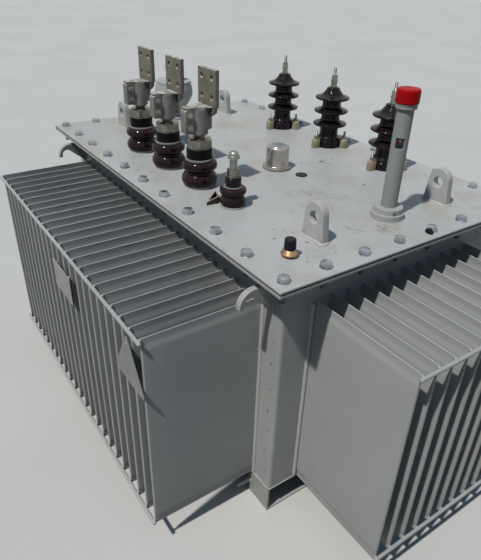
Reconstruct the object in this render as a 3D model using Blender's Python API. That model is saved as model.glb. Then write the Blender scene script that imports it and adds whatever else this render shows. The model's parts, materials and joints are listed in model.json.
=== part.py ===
"""Oil-filled power transformer with a corrugated tank, in metres, +Z up.

The origin is on the ground under the middle of the tank. X runs along the long side,
and the low-voltage bushings stand along the -Y side.
"""

from math import atan2, cos, hypot, pi, radians, sin, sqrt, tan

import bmesh
import bpy
from mathutils import Matrix, Vector

# Gap kept between pieces that touch, how far joined shapes run into each other,
# and the distance under which two points count as one
CLEAR = 0.0003
WELD = 0.002
SAME_PLACE = 1e-6

# Overall heights and the cover
BODY_HEIGHT = 0.800
COVER_LENGTH = 1.390
COVER_WIDTH = 0.880
COVER_THICKNESS = 0.006
COVER_BEVEL = 0.0015
GASKET_THICKNESS = 0.004
GASKET_INSET = 0.002
GASKET_WIDTH = 0.045
FLANGE_THICKNESS = 0.006
COVER_OVERHANG = 0.066

# Tank walls
WALL_THICKNESS = 0.004
CORNER_RADIUS = 0.018
CORNER_STEPS = 3
SEAM_FROM_CORNER = 0.023
FLOOR_THICKNESS = 0.006

# Cooling fins, which are folds of the wall sheet
FIN_PITCH = 0.050
FIN_DEPTH = 0.310
FIN_WIDTH = 0.009
FIN_SEAM_WIDTH = 0.003
FIN_SEAM_HEIGHT = 0.012
FIN_TAPER_HEIGHT = 0.022
FIN_TIP_ROUND = 0.003
FIN_ABOVE_SKID = 0.003
FIN_BELOW_FLANGE = 0.092
FIN_FROM_SEAM = 0.050
FIN_FROM_CORNER = 0.095
ROD_RADIUS = 0.005
ROD_OVERHANG = 0.006
ROD_FROM_FIN_END = 0.008
ROD_SIDES = 8

# Skids
SKID_HEIGHT = 0.090
SKID_WIDTH = 0.094
SKID_SHEET = 0.006

# Lashing hooks, cut from plate and welded to the long walls under the flange
HOOK_THICKNESS = 0.016
HOOK_FROM_CORNER = 0.039
HOOK_BELOW_FLANGE = 0.030
HOOK_REACH = 0.096
HOOK_OUTER_RADIUS = 0.040
HOOK_INNER_RADIUS = 0.017
HOOK_TIP_WIDTH = 0.011
HOOK_TIP_DROP = 0.004
HOOK_THROAT_DROP = 0.036
HOOK_BRACE_ANGLE = radians(130)
HOOK_STEPS = 6

# Lifting lugs, welded to the cover
LUG_FROM_END = 0.150
LUG_FROM_SIDE = 0.218
LUG_FOOT = 0.076
LUG_TOP_RADIUS = 0.031
LUG_HEIGHT = 0.095
LUG_THICKNESS = 0.020
LUG_HOLE_RADIUS = 0.015
LUG_HOLE_HEIGHT = 0.057
LUG_STEPS = 9
LUG_HOLE_SIDES = 16

# Low-voltage bushings, which stand in one row with the neutral
LV_FIRST_X = -0.266
LV_SPACING = 0.187
LV_FROM_SIDE = 0.160
LV_SEAT_RADIUS = 0.044
LV_SEAT_HEIGHT = 0.006
LV_BELLY_RADIUS = 0.0515
LV_BELLY_TOP = 0.045
LV_SHED_RADIUS = 0.051
LV_SHED_TOP = 0.0755
LV_WAIST_RADIUS = 0.0435
LV_RING_RADIUS = 0.040
LV_RING_TOP = 0.082
LV_NECK_RADIUS = 0.036
LV_HEIGHT = 0.111
STUD_RADIUS = 0.0165
LV_NUT_ACROSS_FLATS = 0.047
LV_NUT_HEIGHT = 0.0275

# Cast clamp on each low-voltage stud, with an upright palm
CLAMP_ABOVE_NUT = 0.010
CLAMP_RADIUS = 0.025
CLAMP_HEIGHT = 0.073
CLAMP_ROOF = 0.012
CLAMP_SLOT = 0.003
EAR_PAIR_WIDTH = 0.028
EAR_REACH = 0.049
EAR_ABOVE_CLAMP_BOTTOM = 0.005
EAR_CORNER = 0.007
EAR_STEPS = 3
PALM_WIDTH = 0.090
PALM_THICKNESS = 0.012
PALM_HEIGHT = 0.095
PALM_OFFSET = 0.024
PALM_CORNER = 0.007
PALM_NECK_WIDTH = 0.054
PALM_NECK_DROP = 0.015
PALM_ROOT_DROP = 0.032
PALM_HOLE_RADIUS = 0.007
PALM_HOLE_SPACING = 0.050
PALM_HOLE_FROM_TOP = 0.021
PALM_HOLE_SIDES = 12

# Neutral bushing
NEUTRAL_X = 0.281
NEUTRAL_SEAT_RADIUS = 0.035
NEUTRAL_SEAT_HEIGHT = 0.004
NEUTRAL_BELLY_RADIUS = 0.036
NEUTRAL_BELLY_TOP = 0.030
NEUTRAL_SHED_TOP = 0.053
NEUTRAL_WAIST_RADIUS = 0.030
NEUTRAL_RING_RADIUS = 0.026
NEUTRAL_RING_TOP = 0.056
NEUTRAL_NECK_RADIUS = 0.0215
NEUTRAL_HEIGHT = 0.081
NEUTRAL_WASHER_RADIUS = 0.018
NEUTRAL_WASHER_THICKNESS = 0.003
NEUTRAL_NUT_ACROSS_FLATS = 0.029
NEUTRAL_NUT_HEIGHT = 0.018
NEUTRAL_SLEEVE_RADIUS = 0.010
NEUTRAL_COLLAR_RADIUS = 0.0155
NEUTRAL_COLLAR_LOW = 0.129
NEUTRAL_COLLAR_TOP = 0.136
NEUTRAL_DOME_RADIUS = 0.012
NEUTRAL_TOP = 0.148

# High-voltage bushings
HV_FIRST_X = -0.260
HV_SPACING = 0.265
HV_FROM_SIDE = 0.135
HV_FOOT_RADIUS = 0.045
HV_FOOT_HEIGHT = 0.024
HV_SHOULDER_RADIUS = 0.038
HV_SHOULDER_TOP = 0.036
HV_TRUNK_RADIUS = 0.031
HV_SHED_RADIUS = 0.058
HV_FIRST_RIM = 0.078
HV_SHED_SPACING = 0.0435
HV_SHEDS = 3
HV_RIM_THICKNESS = 0.007
HV_SHED_SLOPE = 0.015
HV_UNDERCUT = 0.010
HV_HEAD_RADIUS = 0.0225
HV_HEAD_CHAMFER = 0.005
HV_HEIGHT = 0.198
HV_STUD_RADIUS = 0.005
HV_STUD_TOP = 0.260
HV_WASHER_RADIUS = 0.0125
HV_WASHER_THICKNESS = 0.003
HV_NUT_ACROSS_FLATS = 0.0185
HV_NUT_HEIGHT = 0.016
HV_NUTS = 2

# Cast claws that hold each high-voltage foot down
CLAWS = 3
CLAW_FIRST_ANGLE = radians(-90)
CLAW_OUTER = 0.071
CLAW_WIDTH = 0.019
CLAW_HEIGHT = 0.038
CLAW_OUTER_HEIGHT = 0.024
CLAW_SHOULDER = 0.063
CLAW_LEG_CLEAR = 0.002
CLAW_TIP_RADIUS = 0.0385
CLAW_TIP_THICKNESS = 0.008

# Oil level gauge
GAUGE_FROM_END = 0.152
GAUGE_Y = 0.027
GAUGE_FOOT_RADIUS = 0.043
GAUGE_FOOT_HEIGHT = 0.015
GAUGE_BAND_RADIUS = 0.0375
GAUGE_BAND_TOP = 0.030
GAUGE_TUBE_RADIUS = 0.0205
GAUGE_COLLAR_RADIUS = 0.026
GAUGE_COLLAR_LOW = 0.276
GAUGE_COLLAR_TOP = 0.288
GAUGE_CAP_RADIUS = 0.028
GAUGE_CAP_HEIGHT = 0.033
GAUGE_CAP_ROUND = 0.003
WINDOW_WIDTH = 0.022
WINDOW_HEIGHT = 0.026
WINDOW_DEPTH = 0.006
WINDOW_CENTRE = 0.196
WINDOW_FACES = radians(-51)

# Tap changer cap
TAP_X = 0.103
TAP_Y = 0.004
TAP_FLANGE_RADIUS = 0.045
TAP_FLANGE_HEIGHT = 0.008
TAP_CAP_RADIUS = 0.0355
TAP_CAP_TOP = 0.071
TAP_CAP_ROUND = 0.008
TAP_ROUND_STEPS = 3

# Blanking plug and thermometer pocket
PLUG_X = 0.196
PLUG_Y = 0.027
PLUG_RADIUS = 0.018
PLUG_HEIGHT = 0.003
POCKET_FROM_END = 0.1134
POCKET_FROM_SIDE = 0.1124
POCKET_RADIUS = 0.020
POCKET_FOOT_RADIUS = 0.018
POCKET_BULGE_HEIGHT = 0.009
POCKET_HEIGHT = 0.020
POCKET_CAP_RADIUS = 0.0135
POCKET_CAP_TOP_RADIUS = 0.012
POCKET_CAP_HEIGHT = 0.025

# Oil filler
FILLER_FROM_END = 0.107
FILLER_Y = 0.013
FILLER_FOOT_RADIUS = 0.055
FILLER_FLANGE_HEIGHT = 0.008
FILLER_WAIST_RADIUS = 0.034
FILLER_WAIST_TOP = 0.028
FILLER_BOWL_RADIUS = 0.074
FILLER_BOWL_WIDEST_LOW = 0.087
FILLER_BOWL_WIDEST_HIGH = 0.110
FILLER_LID_RADIUS = 0.068
FILLER_LID_LOW = 0.134
FILLER_LID_TOP = 0.142
FILLER_NECK_RADIUS = 0.027
FILLER_CAP_RADIUS = 0.031
FILLER_CAP_HEIGHT = 0.018
FILLER_TOP = 0.203

# Plates that stand off the fin tips on rails. The rating plate is told from the middle fin
# and the three-cornered one from the last fin, each with its middle beside its first rail
PLATE_THICKNESS = 0.002
PLATE_STAND_OFF = 0.006
PLATE_RAIL_WIDTH = 0.006
PLATE_RAIL_INSET = 0.004
RATING_WIDTH = 0.138
RATING_HEIGHT = 0.090
RATING_FROM_RAIL = 0.046
RATING_BELOW_FIN_TOP = 0.120
RATING_FINS_FROM_MIDDLE = (0, 2)
WARNING_SIDE = 0.158
WARNING_CORNER = 0.010
WARNING_FROM_RAIL = 0.042
WARNING_BELOW_FIN_TOP = 0.157
WARNING_FINS_FROM_END = (3, 2)
WARNING_RAIL_TOP = 0.052

# Earthing lug, a flat bar on edge at the inner side of the skid's front end
EARTH_THICKNESS = 0.006
EARTH_DEPTH = 0.014
EARTH_REACH = 0.046
EARTH_HEIGHT = 0.045
EARTH_FROM_SKID_SIDE = 0.003
EARTH_STEPS = 6

ROUND_SIDES = 20
BUSHING_SIDES = 16
SMALL_SIDES = 12
BULGE_STEPS = 4

# Dependent sizes
TANK_X = COVER_LENGTH / 2 - COVER_OVERHANG
TANK_Y = COVER_WIDTH / 2 - COVER_OVERHANG
COVER_BOTTOM = BODY_HEIGHT - COVER_THICKNESS
GASKET_BOTTOM = COVER_BOTTOM - GASKET_THICKNESS
FLANGE_BOTTOM = GASKET_BOTTOM - FLANGE_THICKNESS
SEAM_X = TANK_X - SEAM_FROM_CORNER
FIN_BOTTOM = SKID_HEIGHT + FIN_ABOVE_SKID
FIN_TOP = FLANGE_BOTTOM - FIN_BELOW_FLANGE
LONG_SIDE_FINS = 1 + int(2 * (SEAM_X - FIN_FROM_SEAM) / FIN_PITCH)
END_FINS = 1 + int(2 * (TANK_Y - FIN_FROM_CORNER) / FIN_PITCH)
LV_Y = -(COVER_WIDTH / 2 - LV_FROM_SIDE)
HV_Y = COVER_WIDTH / 2 - HV_FROM_SIDE
CLAMP_LOW = LV_HEIGHT + CLEAR + LV_NUT_HEIGHT + CLAMP_ABOVE_NUT
CLAMP_TOP = CLAMP_LOW + CLAMP_HEIGHT
MIDDLE_FIN = LONG_SIDE_FINS // 2
RATING_FINS = [MIDDLE_FIN + step for step in RATING_FINS_FROM_MIDDLE]
WARNING_FINS = [LONG_SIDE_FINS - step for step in WARNING_FINS_FROM_END]


def clear_scene():
    for old in list(bpy.data.objects):
        bpy.data.objects.remove(old)


def make_material(name, colour, roughness, metallic=0.0):
    material = bpy.data.materials.new(name)
    material.use_nodes = True
    shader = material.node_tree.nodes["Principled BSDF"]
    shader.inputs["Base Color"].default_value = (*colour, 1.0)
    shader.inputs["Roughness"].default_value = roughness
    shader.inputs["Metallic"].default_value = metallic
    return material


def make_object(name, bm, material, parent=None, smooth=False):
    """Turns a bmesh into a named object with outward normals."""
    bmesh.ops.recalc_face_normals(bm, faces=bm.faces)
    mesh = bpy.data.meshes.new(name)
    bm.to_mesh(mesh)
    bm.free()
    if smooth:
        mesh.shade_smooth()
        mesh.set_sharp_from_angle(angle=radians(35))
    mesh.materials.append(material)
    obj = bpy.data.objects.new(name, mesh)
    bpy.context.scene.collection.objects.link(obj)
    obj.parent = parent
    return obj


def hide_helper(obj):
    obj.hide_render = True
    obj.display_type = "WIRE"


def add_boolean(obj, other, operation):
    modifier = obj.modifiers.new(operation.lower(), "BOOLEAN")
    modifier.operation = operation
    modifier.solver = "EXACT"
    modifier.object = other
    hide_helper(other)


def draw_out(bm, faces, step, keep_start=False):
    """Extrudes the faces by the step and returns what moved, as vertices and faces."""
    grown = bmesh.ops.extrude_face_region(bm, geom=faces)["geom"]
    if not keep_start:
        bmesh.ops.delete(bm, geom=faces, context="FACES")
    verts = [item for item in grown if isinstance(item, bmesh.types.BMVert)]
    bmesh.ops.translate(bm, verts=verts, vec=step)
    return verts, [item for item in grown if isinstance(item, bmesh.types.BMFace)]


def prism(outline, start, end, place=lambda u, v, w: (u, v, w)):
    """A closed prism: the outline in (u, v), drawn out along w from start to end."""
    bm = bmesh.new()
    face = bm.faces.new([bm.verts.new(place(u, v, start)) for u, v in outline])
    step = Vector(place(0, 0, end)) - Vector(place(0, 0, start))
    draw_out(bm, [face], step, keep_start=True)
    return bm


def turned(profile, sides):
    """A closed body of revolution about Z from (radius, height) points that begin and end at radius 0."""
    bm = bmesh.new()
    points = [bm.verts.new((radius, 0, height)) for radius, height in profile]
    edges = [bm.edges.new(pair) for pair in zip(points, points[1:])]
    bmesh.ops.spin(bm, geom=points + edges, cent=(0, 0, 0), axis=(0, 0, 1), angle=2 * pi, steps=sides)
    bmesh.ops.remove_doubles(bm, verts=bm.verts, dist=SAME_PLACE)
    return bm


def arc(centre_u, centre_v, radius, start, end, steps):
    """Points along an arc, both ends included, with angles in radians."""
    turn = (end - start) / steps
    return [
        (centre_u + radius * cos(start + turn * i), centre_v + radius * sin(start + turn * i))
        for i in range(steps + 1)
    ]


def polygon(sides, radius, centre_u=0.0, centre_v=0.0):
    """A regular polygon with a flat side up, whose corners lie on the circle."""
    start = pi / 2 + pi / sides
    return arc(centre_u, centre_v, radius, start, start + 2 * pi * (1 - 1 / sides), sides - 1)


def rectangle(half_u, half_v, centre_u=0.0, centre_v=0.0):
    return [
        (centre_u - half_u, centre_v - half_v),
        (centre_u + half_u, centre_v - half_v),
        (centre_u + half_u, centre_v + half_v),
        (centre_u - half_u, centre_v + half_v),
    ]


def in_yz(u, v, w):
    """Outline in Y and Z, drawn out along X."""
    return (w, u, v)


def in_xz(u, v, w):
    """Outline in X and Z, drawn out along Y."""
    return (u, w, v)


def fin_places(count):
    return [(i - (count - 1) / 2) * FIN_PITCH for i in range(count)]


def wall_outline(half_length, fins, wraps_corners):
    """The wall sheet seen from above, as (along, out) with out = 0 at its outer face.

    It has a station at each side of each fin. An end wall goes round both tank corners.
    """
    outer = []
    for middle in fin_places(fins):
        outer += [(middle - FIN_WIDTH / 2, 0.0), (middle + FIN_WIDTH / 2, 0.0)]
    if not wraps_corners:
        outer = [(-half_length, 0.0), *outer, (half_length, 0.0)]
        return outer + [(half_length, -WALL_THICKNESS), (-half_length, -WALL_THICKNESS)]
    middle = half_length - CORNER_RADIUS
    inner_radius = CORNER_RADIUS - WALL_THICKNESS
    right = arc(middle, -CORNER_RADIUS, CORNER_RADIUS, pi / 2, 0, CORNER_STEPS)
    right.append((half_length, -SEAM_FROM_CORNER + CLEAR))
    right.append((half_length - WALL_THICKNESS, -SEAM_FROM_CORNER + CLEAR))
    right += arc(middle, -CORNER_RADIUS, inner_radius, 0, pi / 2, CORNER_STEPS)
    left = [(-along, out) for along, out in reversed(right)]
    return outer + right + left


def finned_wall(name, half_length, fins, wraps_corners, material, place):
    """One side of the tank: a sheet whose folds stand out as closed fins, pinched at both ends."""
    seam_low = FIN_BOTTOM + FIN_SEAM_HEIGHT
    seam_high = FIN_TOP - FIN_SEAM_HEIGHT
    levels = [
        FIN_BOTTOM,
        seam_low,
        seam_low + FIN_TAPER_HEIGHT,
        seam_high - FIN_TAPER_HEIGHT,
        seam_high,
        FIN_TOP,
        FLANGE_BOTTOM - CLEAR,
    ]
    bm = bmesh.new()
    start = SKID_HEIGHT + CLEAR
    outline = wall_outline(half_length, fins, wraps_corners)
    top = [bm.faces.new([bm.verts.new((along, out, start)) for along, out in outline])]
    height = start
    for level in levels:
        top = draw_out(bm, top, (0, 0, level - height), keep_start=height == start)[1]
        height = level
    places = fin_places(fins)
    for middle in places:
        at_end = middle in (places[0], places[-1])
        raise_fin(bm, middle, FIN_DEPTH + (WELD if at_end else 0.0))
    obj = make_object(name, bm, material)
    obj.matrix_world = place
    return obj


def raise_fin(bm, middle, depth):
    """Draws the column of faces at this place out of the sheet, rounds its edge and pinches its ends."""
    half = FIN_WIDTH / 2
    column = []
    for face in bm.faces:
        at = face.calc_center_median()
        if abs(at.x - middle) < half / 2 and abs(at.y) < SAME_PLACE and FIN_BOTTOM < at.z < FIN_TOP:
            column.append(face)
    tip = draw_out(bm, column, (0, depth, 0))[1]
    edges = {edge for face in tip for edge in face.edges}
    sides = [edge for edge in edges if abs(edge.verts[0].co.x - edge.verts[1].co.x) < SAME_PLACE]
    sides.sort(key=lambda edge: (edge.verts[0].co.x, edge.verts[0].co.z + edge.verts[1].co.z))
    bmesh.ops.bevel(bm, geom=sides, offset=FIN_TIP_ROUND, segments=1, affect="EDGES")
    share = FIN_SEAM_WIDTH / FIN_WIDTH
    low = FIN_BOTTOM + FIN_SEAM_HEIGHT + SAME_PLACE
    high = FIN_TOP - FIN_SEAM_HEIGHT - SAME_PLACE
    for vert in bm.verts:
        if abs(vert.co.x - middle) > half + SAME_PLACE or vert.co.y < -SAME_PLACE:
            continue
        in_low_seam = FIN_BOTTOM - SAME_PLACE < vert.co.z < low
        in_high_seam = high < vert.co.z < FIN_TOP + SAME_PLACE
        if in_low_seam or in_high_seam:
            vert.co.x = middle + (vert.co.x - middle) * share


def side_places():
    """Each tank side's name, half length, fins, whether it wraps the corners, and its place in the tank."""
    front = Matrix.Translation((0, -TANK_Y, 0)) @ Matrix.Rotation(pi, 4, "Z")
    rear = Matrix.Translation((0, TANK_Y, 0))
    right = Matrix.Translation((TANK_X, 0, 0)) @ Matrix.Rotation(-pi / 2, 4, "Z")
    left = Matrix.Translation((-TANK_X, 0, 0)) @ Matrix.Rotation(pi / 2, 4, "Z")
    return [
        ("front", SEAM_X - CLEAR, LONG_SIDE_FINS, False, front),
        ("rear", SEAM_X - CLEAR, LONG_SIDE_FINS, False, rear),
        ("right", TANK_Y, END_FINS, True, right),
        ("left", TANK_Y, END_FINS, True, left),
    ]


def build_walls(paint):
    """The four finned walls, each with the rods that hold its fin tips in line."""
    for side, half_length, fins, wraps, place in side_places():
        wall = finned_wall(side + "_wall", half_length, fins, wraps, paint, place)
        half_rod = (fins - 1) / 2 * FIN_PITCH + FIN_WIDTH / 2 + ROD_OVERHANG
        out = FIN_DEPTH + CLEAR + ROD_RADIUS
        for level, height in (("top", FIN_TOP - ROD_FROM_FIN_END), ("bottom", FIN_BOTTOM + ROD_FROM_FIN_END)):
            outline = polygon(ROD_SIDES, ROD_RADIUS, out, height)
            rod = make_object(f"{side}_{level}_rod", prism(outline, -half_rod, half_rod, in_yz), paint, wall)
            add_boolean(wall, rod, "UNION")
        if not wraps:
            add_hooks(wall, half_length + CLEAR + SEAM_FROM_CORNER - HOOK_FROM_CORNER, side, paint)


def hook_outline():
    """The hook from the side, as (distance from the wall, height below its top edge)."""
    bend = HOOK_REACH - HOOK_OUTER_RADIUS
    inner_face = HOOK_REACH - HOOK_TIP_WIDTH
    throat = inner_face - HOOK_INNER_RADIUS
    outline = [(-WELD, 0.0)]
    outline += arc(bend, -HOOK_OUTER_RADIUS, HOOK_OUTER_RADIUS, pi / 2, 0, HOOK_STEPS)
    low = -HOOK_OUTER_RADIUS - HOOK_TIP_DROP
    outline += [(HOOK_REACH, low), (inner_face, low)]
    inner = arc(throat, -HOOK_THROAT_DROP, HOOK_INNER_RADIUS, 0, HOOK_BRACE_ANGLE, HOOK_STEPS)
    last_out, last_height = inner[-1]
    slope = -1 / tan(HOOK_BRACE_ANGLE)
    root = last_height - (last_out + WELD) * slope
    return outline + inner + [(-WELD, root)]


def add_hooks(wall, place, side, paint):
    """Two hooks welded to a long wall, one near each end."""
    top = FLANGE_BOTTOM - HOOK_BELOW_FLANGE
    outline = [(out, top + down) for out, down in hook_outline()]
    for name, sign in (("left", -1), ("right", 1)):
        ends = (sign * place - HOOK_THICKNESS / 2, sign * place + HOOK_THICKNESS / 2)
        hook = make_object(f"{side}_{name}_hook", prism(outline, *ends, in_yz), paint, wall)
        add_boolean(wall, hook, "UNION")


def rounded_rectangle(half_u, half_v, radius, steps):
    corners = [(1, 1, 0), (-1, 1, pi / 2), (-1, -1, pi), (1, -1, 3 * pi / 2)]
    outline = []
    for sign_u, sign_v, start in corners:
        centre_u = sign_u * (half_u - radius)
        centre_v = sign_v * (half_v - radius)
        outline += arc(centre_u, centre_v, radius, start, start + pi / 2, steps)
    return outline


def frame_ring(half_u, half_v, inner_u, inner_v, low, high):
    """A flat rectangular ring."""
    bm = bmesh.new()
    outer = [bm.verts.new((u, v, low)) for u, v in rectangle(half_u, half_v)]
    inner = [bm.verts.new((u, v, low)) for u, v in rectangle(inner_u, inner_v)]
    for i in range(4):
        after = (i + 1) % 4
        bm.faces.new([outer[i], outer[after], inner[after], inner[i]])
    draw_out(bm, list(bm.faces), (0, 0, high - low), keep_start=True)
    return bm


def build_cover(paint, rubber):
    """The cover with its lifting lugs, the gasket under it and the tank's flange."""
    half_x, half_y = COVER_LENGTH / 2, COVER_WIDTH / 2
    low, high = COVER_BOTTOM + CLEAR, BODY_HEIGHT
    cover = make_object("cover_plate", prism(rectangle(half_x, half_y), low, high), paint)
    bevel = cover.modifiers.new("bevel", "BEVEL")
    bevel.width = COVER_BEVEL
    bevel.segments = 1
    add_lugs(cover, paint)
    gasket_x, gasket_y = half_x - GASKET_INSET, half_y - GASKET_INSET
    hole_x, hole_y = gasket_x - GASKET_WIDTH, gasket_y - GASKET_WIDTH
    ring = frame_ring(gasket_x, gasket_y, hole_x, hole_y, GASKET_BOTTOM, COVER_BOTTOM)
    make_object("cover_gasket", ring, rubber)
    inner_x, inner_y = TANK_X - WALL_THICKNESS, TANK_Y - WALL_THICKNESS
    ring = frame_ring(half_x, half_y, inner_x, inner_y, FLANGE_BOTTOM, GASKET_BOTTOM - CLEAR)
    make_object("tank_flange", ring, paint)


def lug_outline():
    """A foot and a round top joined by lines that touch the top circle. The foot runs into the cover."""
    centre = LUG_HEIGHT - LUG_TOP_RADIUS
    reach = hypot(LUG_FOOT / 2, centre)
    swing = pi / 2 - atan2(LUG_TOP_RADIUS, sqrt(reach**2 - LUG_TOP_RADIUS**2))
    start = atan2(-centre, LUG_FOOT / 2) + swing
    foot = [(-LUG_FOOT / 2, 0), (-LUG_FOOT / 2, -WELD), (LUG_FOOT / 2, -WELD), (LUG_FOOT / 2, 0)]
    return foot + arc(0, centre, LUG_TOP_RADIUS, start, pi - start, LUG_STEPS)


def add_lugs(cover, paint):
    """Four lifting lugs welded to the cover, each with a shackle hole."""
    half = LUG_THICKNESS / 2
    lug_x, lug_y = COVER_LENGTH / 2 - LUG_FROM_END, COVER_WIDTH / 2 - LUG_FROM_SIDE
    for y_name, y_sign in (("front", -1), ("rear", 1)):
        for x_name, x_sign in (("left", -1), ("right", 1)):
            name = f"{y_name}_{x_name}_lug"
            lug = make_object(name, prism(lug_outline(), -half, half, in_xz), paint, cover)
            lug.location = (x_sign * lug_x, y_sign * lug_y, BODY_HEIGHT)
            ring = polygon(LUG_HOLE_SIDES, LUG_HOLE_RADIUS, 0, LUG_HOLE_HEIGHT)
            cutter = make_object(name + "_hole", prism(ring, -half * 2, half * 2, in_xz), paint, lug)
            add_boolean(lug, cutter, "DIFFERENCE")
            add_boolean(cover, lug, "UNION")


def build_base(paint):
    """The tank floor and the two skids, which are channels open to the outside with closed ends."""
    inset = WALL_THICKNESS + CLEAR
    radius = CORNER_RADIUS - WALL_THICKNESS
    outline = rounded_rectangle(TANK_X - inset, TANK_Y - inset, radius, CORNER_STEPS)
    low = SKID_HEIGHT + CLEAR
    make_object("tank_floor", prism(outline, low, low + FLOOR_THICKNESS), paint)
    for side, sign in (("right", 1), ("left", -1)):
        middle = sign * (TANK_X - SKID_WIDTH / 2)
        bm = prism(rectangle(SKID_WIDTH / 2, TANK_Y, middle), 0.0, SKID_HEIGHT)
        outer = max(bm.faces, key=lambda face: sign * face.calc_center_median().x)
        bmesh.ops.inset_region(bm, faces=[outer], thickness=SKID_SHEET, use_even_offset=True)
        draw_out(bm, [outer], (sign * (SKID_SHEET - SKID_WIDTH), 0, 0))
        skid = make_object(side + "_skid", bm, paint)
        if side == "right":
            add_earth_lug(skid, paint)


def add_earth_lug(skid, paint):
    """A short round-ended bar welded on edge to the front end of the skid, for the earthing bolt."""
    radius = EARTH_DEPTH / 2
    root = -TANK_Y + WELD
    side = TANK_X - SKID_WIDTH + EARTH_FROM_SKID_SIDE
    tongue = [(root, EARTH_HEIGHT - radius), (root, EARTH_HEIGHT + radius)]
    tongue += arc(-TANK_Y - EARTH_REACH + radius, EARTH_HEIGHT, radius, pi / 2, 3 * pi / 2, EARTH_STEPS)
    lug = make_object("earth_lug", prism(tongue, side, side + EARTH_THICKNESS, in_yz), paint, skid)
    add_boolean(skid, lug, "UNION")


def bulge(radius, end_radius, low, high):
    """The rounded rim of a turned piece from top to bottom: half an ellipse that stands out from end_radius."""
    middle, half = (low + high) / 2, (high - low) / 2
    points = []
    for i in range(BULGE_STEPS + 1):
        angle = pi / 2 - pi * i / BULGE_STEPS
        points.append((end_radius + (radius - end_radius) * cos(angle), middle + half * sin(angle)))
    return points


def build_lv_bushings(glaze, tin, cover):
    """Three low-voltage bushings in a row, each with its stud and its clamp."""
    profile = [
        (0, LV_HEIGHT),
        (LV_NECK_RADIUS, LV_HEIGHT),
        (LV_NECK_RADIUS, LV_RING_TOP),
        (LV_RING_RADIUS, LV_RING_TOP),
        *bulge(LV_SHED_RADIUS, LV_RING_RADIUS, LV_BELLY_TOP, LV_SHED_TOP)[:-1],
        (LV_WAIST_RADIUS, LV_BELLY_TOP),
        *bulge(LV_BELLY_RADIUS, LV_SEAT_RADIUS, LV_SEAT_HEIGHT, LV_BELLY_TOP)[1:],
        (LV_SEAT_RADIUS, CLEAR),
        (0, CLEAR),
    ]
    for number in range(3):
        name = f"lv_{number + 1}"
        place = (LV_FIRST_X + number * LV_SPACING, LV_Y, 0)
        porcelain = make_object(name + "_porcelain", turned(profile, BUSHING_SIDES), glaze, cover, smooth=True)
        porcelain.location = place
        make_lv_stud(name + "_stud", tin, cover).location = place
        make_clamp(name + "_clamp", tin, cover).location = place


def make_lv_stud(name, material, parent):
    """The threaded stud with its sealing nut, up into the clamp."""
    low = LV_HEIGHT + CLEAR
    nut = hex_nut(name, low, LV_NUT_ACROSS_FLATS, LV_NUT_HEIGHT, material, parent)
    outline = polygon(SMALL_SIDES, STUD_RADIUS)
    rod = prism(outline, low + LV_NUT_HEIGHT / 2, CLAMP_TOP - CLAMP_ROOF - CLEAR)
    add_boolean(nut, make_object(name + "_rod", rod, material, nut), "UNION")
    return nut


def hex_nut(name, low, across_flats, height, material, parent):
    return make_object(name, prism(polygon(6, across_flats / sqrt(3)), low, low + height), material, parent)


def ear_outline():
    """The clamp's ears and the bridge to its palm, from the side, as (y, height)."""
    low = CLAMP_LOW + EAR_ABOVE_CLAMP_BOTTOM
    front = -EAR_REACH + EAR_CORNER
    back = PALM_OFFSET + PALM_THICKNESS
    top = CLAMP_TOP + WELD
    return [
        *arc(front, CLAMP_TOP - EAR_CORNER, EAR_CORNER, pi, pi / 2, EAR_STEPS),
        (0.0, top),
        (back - WELD, top),
        (back - WELD, low + EAR_CORNER),
        (0.0, low),
        *arc(front, low + EAR_CORNER, EAR_CORNER, -pi / 2, -pi, EAR_STEPS),
    ]


def palm_outline(top):
    """The palm from the front, as (x, height): a plate that narrows to a neck and a root."""
    half, neck = PALM_WIDTH / 2, PALM_NECK_WIDTH / 2
    low = top - PALM_HEIGHT
    right = [
        (half, top),
        (half, low + PALM_CORNER),
        (half - PALM_CORNER, low),
        (neck, low),
        (neck, low - PALM_NECK_DROP),
        (CLAMP_RADIUS - WELD, low - PALM_ROOT_DROP),
    ]
    return right + [(-x, height) for x, height in reversed(right)]


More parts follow.
